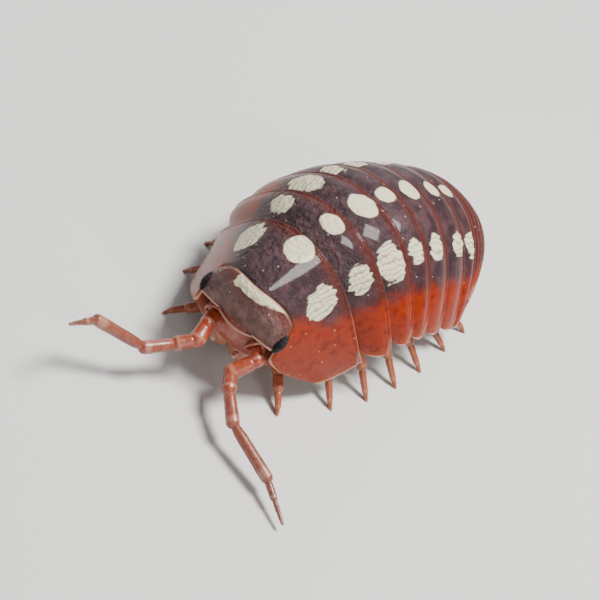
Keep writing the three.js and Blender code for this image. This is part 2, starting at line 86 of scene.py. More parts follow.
@dataclass
class BodyPlan:
    """The arched body: its crest line, and how wide and deep it is at each station along it."""

    stations: tuple = (-1.4, 0, 3.05, 5.04, 7.06, 8.71, 10.57, 12.48, 13.87, 15.2, 16.6, 18.2)
    pitch_deg: tuple = (29, 23, 15.8, 5.3, -5.3, -13.9, -19, -22, -26, -36, -50, -66)
    half_width: tuple = (2.3, 2.92, 3.75, 4.24, 4.4, 4.43, 4.4, 4.3, 4.19, 3.85, 3.4, 2.7)
    depth: tuple = (4.85, 4.9, 4.38, 3.98, 3.82, 3.79, 3.81, 3.8, 3.77, 3.4, 2.95, 2.3)
    front_of_back: tuple = (-0.98, -4.941, 5.0)
    yaw_per_mm: float = 0.015
    flank_power: float = 0.861
    crest_power: float = 1.642
    flap_start: float = 0.74
    belly_share: float = 0.9
    belly_sag: float = 0.25
    skirt: float = 0.5
    step: float = 0.05
    reach: float = 18.2

    def __post_init__(self) -> None:
        """Walks along the pitch and yaw in short steps to lay out the crest line."""
        count = round((self.reach - self.stations[0]) / self.step)
        middles = self.stations[0] + (np.arange(count) + 0.5) * self.step
        walked = np.cumsum(self.heading(middles) * self.step, axis=0)
        self.line_s = self.stations[0] + np.arange(count + 1) * self.step
        self.line = np.vstack([np.zeros(3), walked])
        self.line += np.array(self.front_of_back) - self.crest(np.array(0.0))

    def along(self, values: tuple, s: np.ndarray) -> np.ndarray:
        """A smooth curve through one value per station.

        Between two stations it is a cubic whose end slopes are those between the
        neighbours on each side.

        Args:
            values: One value per station.
            s: Distances along the crest.

        Returns:
            The curve's values at s.
        """
        x = np.array(self.stations)
        y = np.array(values, float)
        s = np.asarray(s, float)
        last = len(x) - 1
        i = np.clip(np.searchsorted(x, s) - 1, 0, last - 1)
        before = np.maximum(0, np.arange(last + 1) - 1)
        after = np.minimum(last, np.arange(last + 1) + 1)
        slope = (y[after] - y[before]) / (x[after] - x[before])
        span = x[i + 1] - x[i]
        t = np.clip((s - x[i]) / span, 0, 1)
        curve = mix(y[i], y[i + 1], t * t * (3 - 2 * t))
        curve = curve + slope[i] * span * t * (1 - t) ** 2
        return curve + slope[i + 1] * span * t * t * (t - 1)

    def heading(self, s: np.ndarray) -> np.ndarray:
        """The unit direction of the crest towards the tail at s."""
        pitch = np.radians(self.along(self.pitch_deg, s))
        yaw = self.yaw_per_mm * np.asarray(s, float)
        flat = np.cos(pitch)
        return np.stack([np.sin(yaw) * flat, np.cos(yaw) * flat, np.sin(pitch)], -1)

    def crest(self, s: np.ndarray) -> np.ndarray:
        """Points of the crest line at s."""
        return np.stack([np.interp(s, self.line_s, self.line[:, k]) for k in range(3)], -1)

    def axes(self, s: np.ndarray) -> tuple[np.ndarray, np.ndarray, np.ndarray]:
        """The body's own axes at s: towards the tail, to the left, and out of the back."""
        back = self.heading(s)
        yaw = self.yaw_per_mm * np.asarray(s, float)
        left = np.stack([np.cos(yaw), -np.sin(yaw), np.zeros_like(yaw)], -1)
        return back, left, np.cross(left, back)

    def at(self, s: np.ndarray, x: np.ndarray, y: np.ndarray) -> np.ndarray:
        """Points x to the left of the crest and y below it."""
        _, left, up = self.axes(s)
        return self.crest(s) + left * np.asarray(x)[..., None] - up * np.asarray(y)[..., None]

    def arch(self, s: np.ndarray, side: np.ndarray, depth: np.ndarray) -> np.ndarray:
        """Points of the arched back.

        Across the body the arch is a quarter turn of an ellipse on each side, with its
        sine and cosine raised to powers, which makes the flanks steep and the crest round.

        Args:
            s: Distances along the crest.
            side: From -1 at the right flap's edge to 1 at the left one's.
            depth: How far under the outer surface the point lies.

        Returns:
            An array of points with one more axis than the inputs.
        """
        return self.at(s, *self.offset(s, side, depth))

    def offset(
        self, s: np.ndarray, side: np.ndarray, depth: np.ndarray
    ) -> tuple[np.ndarray, np.ndarray]:
        """How far the arch lies to the left of the crest and below it."""
        angle = np.clip(np.abs(side), 0, 1) * np.pi / 2
        wide = self.along(self.half_width, s) - depth
        drop = self.along(self.depth, s) - depth
        x = np.sign(side) * wide * np.sin(angle) ** self.flank_power
        return x, depth + drop * (1 - np.cos(angle) ** self.crest_power)

    def under(self, s: np.ndarray, side: np.ndarray, skirt: np.ndarray, kind: "Ring") -> np.ndarray:
        """Points of the flaps' inner faces and of the gently sagging belly between them.

        Args:
            s: Distances along the crest.
            side: Side shares.
            skirt: How far under the outer surface the flap's inner face ends.
            kind: The ring's shape.

        Returns:
            An array of points with one more axis than the inputs.
        """
        t = np.abs(side) / kind.reach
        full = self.along(self.depth, s)
        wide = self.along(self.half_width, s)
        edge_x, edge_y = self.offset(s, kind.reach * np.ones_like(s), skirt)
        reach_x = wide * np.sin(kind.reach * np.pi / 2) ** self.flank_power
        belly_half = self.belly_share * reach_x - self.skirt
        down = np.clip((t - self.flap_start) / (1 - self.flap_start), 0, 1)
        across = np.clip(t / self.flap_start, 0, 1)
        x_flap = mix(belly_half, edge_x, down)
        y_flap = mix(full * kind.level, edge_y, down)
        y_belly = full * kind.level + self.belly_sag * (1 - across**2)
        on_flap = t >= self.flap_start
        x = np.sign(side) * np.where(on_flap, x_flap, belly_half * across)
        return self.at(s, x, np.where(on_flap, y_flap, y_belly))


PLAN = BodyPlan()


@dataclass
class Cloth:
    """Vertices, four-cornered faces and named fields of one piece while it is put together."""

    points: list = field(default_factory=list)
    faces: list = field(default_factory=list)
    fields: dict = field(default_factory=dict)
    count: int = 0

    def add(self, points: np.ndarray, faces: np.ndarray, **fields: np.ndarray) -> None:
        """Adds one closed surface.

        Args:
            points: Its vertices in millimetres, one row each.
            faces: Rows of four indices into points, a triangle repeating its last one.
            **fields: One number per vertex for each field, or one number for them all.
        """
        flat = points.reshape(-1, 3)
        self.points.append(flat)
        self.faces.append(faces + self.count)
        for name in set(self.fields) | set(fields):
            held = self.fields.setdefault(name, [np.zeros(self.count)] if self.count else [])
            value = np.asarray(fields.get(name, 0.0), float)
            held.append(np.broadcast_to(value.reshape(-1) if value.ndim else value, len(flat)))
        self.count += len(flat)

    def piece(self, name: str, finish: "Finish", slot: str, nodes: list[str]) -> bpy.types.Object:
        """Writes the mesh, dresses it and ties it to the part.

        Args:
            name: The object's name.
            finish: What it is painted with.
            slot: Not used.
            nodes: The nodes that it stands for.

        Returns:
            The new object.
        """
        points = np.vstack(self.points) * MM
        quads = np.vstack(self.faces).astype(np.int32)
        three = quads[:, 2] == quads[:, 3]
        starts = np.concatenate([[0], np.cumsum(np.where(three, 3, 4))[:-1]])
        keep = np.ones(quads.shape, bool)
        keep[three, 3] = False
        mesh = bpy.data.meshes.new(name)
        mesh.vertices.add(len(points))
        mesh.vertices.foreach_set("co", points.astype(np.float32).ravel())
        mesh.loops.add(int(keep.sum()))
        mesh.loops.foreach_set("vertex_index", quads[keep])
        mesh.polygons.add(len(quads))
        mesh.polygons.foreach_set("loop_start", starts.astype(np.int32))
        mesh.polygons.foreach_set("use_smooth", np.ones(len(quads), bool))
        for label, parts in self.fields.items():
            layer = mesh.attributes.new(label, "FLOAT", "POINT")
            layer.data.foreach_set("value", np.concatenate(parts).astype(np.float32))
        mesh.update(calc_edges=True)
        mesh.validate()
        mesh.materials.append(finish.material())
        thing = bpy.data.objects.new(name, mesh)
        bpy.context.scene.collection.objects.link(thing)
        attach(thing, BODY)
        if nodes:
            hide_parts(*nodes)
        log.info("%s: %d faces", name, len(quads))
        return thing


def slab_faces(rows: int, columns: int) -> np.ndarray:
    """Faces of a closed sheet made of an outer and an inner grid of the same size."""
    size = rows * columns
    number = np.arange(2 * size).reshape(2, rows, columns)

    def strip(a: np.ndarray, b: np.ndarray, c: np.ndarray, d: np.ndarray) -> np.ndarray:
        """Four equal arrays of corners as rows of four."""
        return np.stack([a.ravel(), b.ravel(), c.ravel(), d.ravel()], -1)

    o, i = number
    top = strip(o[:-1, :-1], o[:-1, 1:], o[1:, 1:], o[1:, :-1])
    low = strip(i[1:, :-1], i[1:, 1:], i[:-1, 1:], i[:-1, :-1])
    front = strip(i[0, :-1], i[0, 1:], o[0, 1:], o[0, :-1])
    rear = strip(o[-1, :-1], o[-1, 1:], i[-1, 1:], i[-1, :-1])
    right = strip(o[:-1, 0], o[1:, 0], i[1:, 0], i[:-1, 0])
    left = strip(i[:-1, -1], i[1:, -1], o[1:, -1], o[:-1, -1])
    return np.vstack([top, low, front, rear, right, left])


def tube_faces(rings: int, around: int) -> np.ndarray:
    """Faces of a tube of rings whose two ends close on one point each.

    The points are the rings in order, then the first end's point and the last end's.
    """
    number = np.arange(rings * around).reshape(rings, around)
    turned = np.roll(number, -1, axis=1)
    body = np.stack([number[:-1], turned[:-1], turned[1:], number[1:]], -1).reshape(-1, 4)
    first, last = rings * around, rings * around + 1
    start = np.stack([turned[0], number[0], np.full(around, first), np.full(around, first)], -1)
    end = np.stack([number[-1], turned[-1], np.full(around, last), np.full(around, last)], -1)
    return np.vstack([body, start, end])


def tube(path: np.ndarray, radius: np.ndarray, around: int, flat: float = 1.0) -> np.ndarray:
    """Points of a closed tube carried along a path.

    Each ring is a circle, or an ellipse flattened along the ring's second axis, square to
    the path. The ring's first axis is the one square to both the path and the vertical.

    Args:
        path: The middle of each ring.
        radius: Each ring's radius.
        around: Points in a ring.
        flat: The second axis as a share of the first.

    Returns:
        The ring points, then the two end points.
    """
    way = np.gradient(path, axis=0)
    way /= np.linalg.norm(way, axis=1, keepdims=True)
    first = np.cross(way, UPRIGHT)
    first /= np.linalg.norm(first, axis=1, keepdims=True)
    second = np.cross(first, way)
    turn = np.linspace(0, 2 * np.pi, around, endpoint=False)
    rings = path[:, None] + radius[:, None, None] * (
        first[:, None] * np.cos(-turn)[None, :, None]
        + flat * second[:, None] * np.sin(-turn)[None, :, None]
    )
    return np.vstack([rings.reshape(-1, 3), path[:1], path[-1:]])


def square_turn(angle: np.ndarray, power: float) -> tuple[np.ndarray, np.ndarray]:
    """The cosine and sine of a rounded square, whose points are spread evenly by angle."""
    c, s = np.cos(angle), np.sin(angle)
    size = (np.abs(c) ** (2 / power) + np.abs(s) ** (2 / power)) ** (power / 2)
    return c / size, s / size


def boulder(
    centre: np.ndarray, half: np.ndarray, power: float, rows: int, around: int, dome: float = 0.0
) -> tuple[np.ndarray, np.ndarray]:
    """A rounded block, in millimetres.

    It is an ellipsoid whose sines and cosines are swapped for those of a rounded square,
    so its sides get flatter as the power drops below 1. Its top may swell into a dome.

    Args:
        centre: The middle.
        half: Rows of the three half axes, as vectors.
        power: 1 for an ellipsoid, less for a squarer block.
        rows: Rings from end to end.
        around: Points in a ring.
        dome: How far the top rises in the middle, as a share of the third half axis.

    Returns:
        The points, and the same points in the block's own axes, from -1 to 1.
    """
    tilt = np.linspace(-np.pi / 2, np.pi / 2, rows + 2)[1:-1]
    turn = np.linspace(0, 2 * np.pi, around, endpoint=False)
    flat, rise = square_turn(tilt, power)
    cx, sz = square_turn(turn, power)
    x = flat[:, None] * cx[None]
    z = flat[:, None] * -sz[None]
    y = np.broadcast_to(rise[:, None], x.shape)
    own = np.stack([x, y, z], -1).reshape(-1, 3)
    own = np.vstack([own, [0, -1, 0], [0, 1, 0]])
    lifted = own.copy()
    lifted[:, 2] *= 1 + dome * np.clip(own[:, 2], 0, 1) ** (1 / power) * (1 - own[:, 0] ** 2)
    return centre + lifted @ half, own


class Nodes:
    """A short way to write a material's nodes."""

    def __init__(self, name: str) -> None:
        """Starts a material with one Principled shader.

        Args:
            name: The material's name.
        """
        self.made = bpy.data.materials.new(name)
        self.made.use_nodes = True
        self.tree = self.made.node_tree
        self.shader = self.tree.nodes["Principled BSDF"]
        self.place = self.tree.nodes.new("ShaderNodeTexCoord").outputs["Object"]

    def link(self, source: bpy.types.NodeSocket, target: bpy.types.NodeSocket) -> None:
        """Joins two sockets."""
        self.tree.links.new(source, target)

    def feed(self, target: bpy.types.NodeSocket, value: object) -> None:
        """Links a socket, or sets its own value."""
        if isinstance(value, bpy.types.NodeSocket):
            self.link(value, target)
        else:
            target.default_value = value

    def field(self, name: str) -> bpy.types.NodeSocket:
        """One of the mesh's fields."""
        node = self.tree.nodes.new("ShaderNodeAttribute")
        node.attribute_name = name
        return node.outputs["Fac"]

    def math(self, kind: str, a: object, b: object = 0.0) -> bpy.types.NodeSocket:
        """One step of arithmetic on two numbers."""
        node = self.tree.nodes.new("ShaderNodeMath")
        node.operation = kind
        self.feed(node.inputs[0], a)
        self.feed(node.inputs[1], b)
        return node.outputs[0]

    def times(self, a: object, b: object) -> bpy.types.NodeSocket:
        """The product of two numbers."""
        return self.math("MULTIPLY", a, b)

    def plus(self, a: object, b: object) -> bpy.types.NodeSocket:
        """The sum of two numbers."""
        return self.math("ADD", a, b)

    def ramp(self, value: object, low: float, high: float) -> bpy.types.NodeSocket:
        """Eases from 0 at low to 1 at high, and from 1 to 0 where low is above high."""
        node = self.tree.nodes.new("ShaderNodeMapRange")
        node.interpolation_type = "SMOOTHSTEP"
        falling = low > high
        self.feed(node.inputs["Value"], value)
        node.inputs["From Min"].default_value = min(low, high)
        node.inputs["From Max"].default_value = max(low, high)
        node.inputs["To Min"].default_value = 1.0 if falling else 0.0
        node.inputs["To Max"].default_value = 0.0 if falling else 1.0
        return node.outputs["Result"]

    def noise(self, per_mm: float, detail: float = 2.0, offset: float = 0.0) -> bpy.types.NodeSocket:
        """Cloudy noise about zero, with so many lumps to a millimetre."""
        place = self.place
        if offset:
            shift = self.tree.nodes.new("ShaderNodeMapping")
            shift.inputs["Location"].default_value = (offset * MM, 0, 0)
            self.link(place, shift.inputs["Vector"])
            place = shift.outputs["Vector"]
        node = self.tree.nodes.new("ShaderNodeTexNoise")
        node.inputs["Scale"].default_value = per_mm / MM
        node.inputs["Detail"].default_value = detail
        self.link(place, node.inputs["Vector"])
        return self.math("SUBTRACT", node.outputs["Fac"], 0.5)

    def grain(self, along: float, across: float) -> bpy.types.NodeSocket:
        """Noise drawn out lengthwise, with so many lumps to a millimetre each way."""
        join = self.tree.nodes.new("ShaderNodeCombineXYZ")
        self.feed(join.inputs[0], self.times(self.field("along_mm"), along))
        self.feed(join.inputs[1], self.times(self.field("across_mm"), across))
        node = self.tree.nodes.new("ShaderNodeTexNoise")
        node.inputs["Scale"].default_value = 1.0
        node.inputs["Detail"].default_value = 1.0
        node.inputs["Distortion"].default_value = 0.4
        self.link(join.outputs[0], node.inputs["Vector"])
        return self.math("SUBTRACT", node.outputs["Fac"], 0.5)

    def cells(self, per_mm: float) -> tuple[bpy.types.NodeSocket, bpy.types.NodeSocket]:
        """Distance to the nearest of scattered dots, and that dot's random number."""
        node = self.tree.nodes.new("ShaderNodeTexVoronoi")
        node.inputs["Scale"].default_value = per_mm / MM
        self.link(self.place, node.inputs["Vector"])
        split = self.tree.nodes.new("ShaderNodeSeparateColor")
        self.link(node.outputs["Color"], split.inputs[0])
        return node.outputs["Distance"], split.outputs[0]

    def blend(self, a: object, b: object, amount: object) -> bpy.types.NodeSocket:
        """One colour laid over another."""
        node = self.tree.nodes.new("ShaderNodeMix")
        node.data_type = "RGBA"
        self.feed(node.inputs["Factor"], amount)
        self.feed(node.inputs["A"], (*a, 1.0) if isinstance(a, tuple) else a)
        self.feed(node.inputs["B"], (*b, 1.0) if isinstance(b, tuple) else b)
        return node.outputs["Result"]

    def bump(self, height: bpy.types.NodeSocket, depth_mm: float, strength: float) -> None:
        """Roughens the surface by a height field without changing its outline."""
        node = self.tree.nodes.new("ShaderNodeBump")
        node.inputs["Strength"].default_value = strength
        node.inputs["Distance"].default_value = depth_mm * MM
        self.link(height, node.inputs["Height"])
        self.link(node.outputs["Normal"], self.shader.inputs["Normal"])

    def gloss(
        self, roughness: float, coat: float, coat_roughness: float, specular: float = 0.5
    ) -> None:
        """Sets the shine of the surface and of the clear layer over it."""
        self.shader.inputs["Roughness"].default_value = roughness
        self.shader.inputs["Coat Weight"].default_value = coat
        self.shader.inputs["Coat Roughness"].default_value = coat_roughness
        self.shader.inputs["Specular IOR Level"].default_value = specular

    def glow(self, weight: float, radius_mm: float) -> None:
        """Lets light soak in, more in red than in blue."""
        self.shader.inputs["Subsurface Weight"].default_value = weight
        self.shader.inputs["Subsurface Radius"].default_value = (1.0, 0.45, 0.3)
        self.shader.inputs["Subsurface Scale"].default_value = radius_mm * MM


@dataclass(frozen=True)
class Finish:
    """A finish that is made once and shared by every piece that wears it."""

    name: str

    def material(self) -> bpy.types.Material:
        """The finish's material, made on first use."""
        found = bpy.data.materials.get(self.name)
        if found:
            return found
        nodes = Nodes(self.name)
        self.paint(nodes)
        return nodes.made

    def paint(self, nodes: Nodes) -> None:
        """Builds the nodes, which each kind of finish does in its own way."""
        raise NotImplementedError


@dataclass(frozen=True)
class ShellFinish(Finish):
    """Glossy maroon-black cuticle with orange flanks, cream spots and pale thin margins.

    Widths are in millimetres on the shell, and amounts are shares of a full cover.
    """

    dark: Colour = (0.034, 0.018, 0.022)
    plum: Colour = (0.068, 0.034, 0.038)
    orange: Colour = (0.23, 0.017, 0.0)
    deep_orange: Colour = (0.13, 0.006, 0.0)
    amber: Colour = (0.36, 0.06, 0.006)
    corner: Colour = (0.30, 0.155, 0.115)
    band: Colour = (0.085, 0.014, 0.008)
    cream: Colour = (0.66, 0.60, 0.42)
    vein: Colour = (0.13, 0.12, 0.11)
    rim: Colour = (0.66, 0.38, 0.28)
    speck: Colour = (0.60, 0.48, 0.38)
    inside: Colour = (0.45, 0.24, 0.16)
    band_width: float = 0.75
    band_amount: float = 0.75
    flank_blur: float = 0.45
    flank_waver: tuple[float, float] = (0.7, 1.1)
    spot_waver: float = 0.42
    streak_turn_per_mm: float = 29.0
    streak_waver: float = 16.0
    streak_amount: float = 0.62
    specks_per_mm: float = 3.2
    speck_amount: float = 0.6
    amber_amount: float = 0.5
    corner_amount: float = 0.75
    rim_amount: float = 0.8
    roughness: float = 0.26
    coat: float = 0.12
    coat_roughness: float = 0.08
    specular: float = 0.12
    relief_mm: float = 0.045

    def paint(self, nodes: Nodes) -> None:
        """Lays the dark, the flanks, the spots, the specks and the margins over each other."""
        coarse = nodes.noise(1.1, 3.0)
        fine = nodes.noise(9.0, 2.0, 3.0)
        ground = self.back(nodes)
        ground = self.flanks(nodes, ground, coarse, fine)
        ground = self.spots(nodes, ground, coarse, fine)
        ground = self.specks(nodes, ground)
        ground = self.flap_edges(nodes, ground, fine)
        ground = self.rims(nodes, ground)
        ground = nodes.blend(ground, self.inside, nodes.field("under"))
        nodes.link(ground, nodes.shader.inputs["Base Color"])
        nodes.gloss(self.roughness, self.coat, self.coat_roughness, self.specular)
        self.relief(nodes)

    def back(self, nodes: Nodes) -> bpy.types.NodeSocket:
        """Clouds the dark with plum and warms a band before each rear margin."""
        clouds = nodes.ramp(nodes.noise(2.2, 4.0, 5.0), -0.12, 0.2)
        band = nodes.ramp(nodes.field("rear_mm"), self.band_width, 0.12)
        ground = nodes.blend(self.dark, self.plum, clouds)
        return nodes.blend(ground, self.band, nodes.times(band, self.band_amount))

    def flanks(
        self,
        nodes: Nodes,
        ground: bpy.types.NodeSocket,
        coarse: bpy.types.NodeSocket,
        fine: bpy.types.NodeSocket,
    ) -> bpy.types.NodeSocket:
        """Turns the flanks orange below a soft and wavering border.

        Args:
            nodes: The material's nodes.
            ground: The colour so far.
            coarse: Slow noise.
            fine: Quick noise.

        Returns:
            The new colour.
        """
        slow, quick = self.flank_waver
        border = nodes.plus(nodes.field("flank_mm"), nodes.times(coarse, slow))
        border = nodes.plus(border, nodes.times(fine, quick))
        mottle = nodes.ramp(nodes.noise(3.0, 4.0, 9.0), -0.05, 0.25)
        hot = nodes.blend(self.orange, self.deep_orange, mottle)
        return nodes.blend(ground, hot, nodes.ramp(border, -self.flank_blur, self.flank_blur))

    def spots(
        self,
        nodes: Nodes,
        ground: bpy.types.NodeSocket,
        coarse: bpy.types.NodeSocket,
        fine: bpy.types.NodeSocket,
    ) -> bpy.types.NodeSocket:
        """Lays on the cream spots, those of the sides ragged and finely streaked lengthwise.

        A streak follows the crests of a sine across the body that a slow noise bends.

        Args:
            nodes: The material's nodes.
            ground: The colour so far.
            coarse: Slow noise.
            fine: Quick noise.

        Returns:
            The new colour.
        """
        streaked = nodes.field("streaked")
        ragged = nodes.times(nodes.grain(1.5, 5.5), streaked)
        spot = nodes.plus(nodes.field("spot_mm"), nodes.times(coarse, self.spot_waver))
        spot = nodes.plus(spot, nodes.times(ragged, self.spot_waver))
        waves = nodes.times(nodes.field("across_mm"), self.streak_turn_per_mm)
        bent = nodes.times(nodes.noise(1.6, 2.0, 21.0), self.streak_waver)
        waves = nodes.math("SINE", nodes.plus(waves, bent))
        streaks = nodes.ramp(nodes.plus(waves, nodes.times(fine, 1.6)), 0.45, 1.0)
        streaks = nodes.times(nodes.times(streaks, streaked), self.streak_amount)
        patch = nodes.blend(self.cream, self.vein, streaks)
        return nodes.blend(ground, patch, nodes.ramp(spot, -0.02, 0.05))

    def specks(self, nodes: Nodes, ground: bpy.types.NodeSocket) -> bpy.types.NodeSocket:
        """Scatters tiny pale specks, on about a third of the cells of a loose grid."""
        gap, chance = nodes.cells(self.specks_per_mm)
        dot = nodes.times(nodes.ramp(gap, 0.14, 0.06), nodes.ramp(chance, 0.62, 0.66))
        return nodes.blend(ground, self.speck, nodes.times(dot, self.speck_amount))

    def flap_edges(
        self, nodes: Nodes, ground: bpy.types.NodeSocket, fine: bpy.types.NodeSocket
    ) -> bpy.types.NodeSocket:
        """Turns the flaps amber near their edges and pale at their rear corners.

        Args:
            nodes: The material's nodes.
            ground: The colour so far.
            fine: Quick noise.

        Returns:
            The new colour.
        """
        rear, edge = nodes.field("rear_mm"), nodes.field("edge_mm")
        side = nodes.ramp(nodes.field("flank_mm"), -0.9, 0.3)
        warm = nodes.ramp(nodes.plus(edge, nodes.times(fine, 0.9)), 0.55, 0.1)
        warm = nodes.times(warm, nodes.times(side, self.amber_amount))
        ground = nodes.blend(ground, self.amber, warm)
        corner = nodes.plus(nodes.times(rear, 3.6), nodes.times(edge, 0.95))
        corner = nodes.ramp(nodes.plus(corner, nodes.times(fine, 0.6)), 1.2, 0.75)
        corner = nodes.times(corner, nodes.times(side, self.corner_amount))
        return nodes.blend(ground, self.corner, corner)

    def rims(self, nodes: Nodes, ground: bpy.types.NodeSocket) -> bpy.types.NodeSocket:
        """Draws the thin pale line along every margin, fainter across the back."""
        flank = nodes.times(nodes.ramp(nodes.field("flank_mm"), -1.5, 0.5), 0.7)
        behind = nodes.ramp(nodes.field("rear_mm"), 0.075, 0.035)
        behind = nodes.times(behind, nodes.plus(flank, 0.3))
        pale = nodes.math("MAXIMUM", behind, nodes.ramp(nodes.field("edge_mm"), 0.15, 0.09))
        return nodes.blend(ground, self.rim, nodes.times(pale, self.rim_amount))

    def relief(self, nodes: Nodes) -> None:
        """Wrinkles the dark back, most on the front plates, and grains the whole shell."""
        wrinkle = nodes.times(nodes.noise(5.0, 5.0, 13.0), 3.4)
        in_front = nodes.times(nodes.ramp(nodes.field("along_mm"), 9.0, 4.0), 1.3)
        wrinkle = nodes.times(wrinkle, nodes.plus(in_front, 0.3))
        wrinkle = nodes.times(wrinkle, nodes.ramp(nodes.field("flank_mm"), 0.2, -1.2))
        grain = nodes.times(nodes.noise(26.0, 1.0, 7.0), 0.5)
        nodes.bump(nodes.plus(grain, wrinkle), self.relief_mm, 0.8)


@dataclass(frozen=True)
class EyeFinish(Finish):
    """Black glassy eye."""

    black: Colour = (0.003, 0.003, 0.0035)

    def paint(self, nodes: Nodes) -> None:
        """Sets one dark colour with a soft shine."""
        nodes.shader.inputs["Base Color"].default_value = (*self.black, 1.0)
        nodes.gloss(0.22, 0.0, 0.1, 0.2)


@dataclass(frozen=True)
class LimbFinish(Finish):
    """Thin translucent cuticle of a limb: one colour at its root, another at its end, pale rims."""

    root: Colour = (0.30, 0.036, 0.007)
    end: Colour = (0.16, 0.052, 0.034)
    rim: Colour = (0.48, 0.23, 0.16)

    def paint(self, nodes: Nodes) -> None:
        """Fades along the limb, mottles it and whitens the end of each article."""
        ground = nodes.blend(self.root, self.end, nodes.field("reach"))
        cloud = nodes.ramp(nodes.noise(5.0, 3.0), -0.05, 0.25)
        ground = nodes.blend(ground, self.rim, nodes.times(cloud, 0.25))
        ground = nodes.blend(ground, self.rim, nodes.times(nodes.field("rim"), 0.5))
        nodes.link(ground, nodes.shader.inputs["Base Color"])
        nodes.gloss(0.34, 0.25, 0.2)
        nodes.glow(0.15, 0.25)
        nodes.bump(nodes.noise(16.0, 2.0), 0.02, 0.6)


SHELL = ShellFinish("glossy plate")
HEAD_SHELL = ShellFinish(
    "glossy head plate", dark=(0.105, 0.052, 0.050), plum=(0.175, 0.092, 0.082)
)
EYE = EyeFinish("black eye")
FEELER = LimbFinish("feeler cuticle")
LEG = LimbFinish(
    "leg cuticle", root=(0.26, 0.040, 0.009), end=(0.27, 0.062, 0.020), rim=(0.44, 0.18, 0.09)
)
FLESH = LimbFinish(
    "pale underparts", root=(0.26, 0.026, 0.005), end=(0.40, 0.17, 0.10), rim=(0.60, 0.42, 0.32)
)


@dataclass(frozen=True)
class Spot:
    """One cream spot: where its middle lies on the back, and its half sizes, in millimetres."""

    s: float
    side: float
    half_s: float
    half_across: float
    streaked: bool


def corner_cut(t: np.ndarray, power: float) -> np.ndarray:
    """How far a flap's corner is rounded off: 0 on the back, 1 at the flap's edge."""
    return 1 - np.sqrt(np.maximum(0, 1 - t**power))


INSIDE = {
    "rear_mm": FAR,
    "edge_mm": FAR,
    "spot_mm": -FAR,
    "streaked": 0,
    "flank_mm": FAR,
    "under": 1,
    "along_mm": 0,
    "across_mm": 0,
}


@dataclass(frozen=True)
class Ring:
    """The shape of one ring: where its margins lie at each side share, its belly and its lip."""

    front_line: Callable[[np.ndarray], np.ndarray]
    rear_line: Callable[[np.ndarray], np.ndarray]
    bulge: float
    first: bool = False
    reach: float = 1.0
    level: float = 0.7
    lip: float = 0.34
    thick: float = 0.26


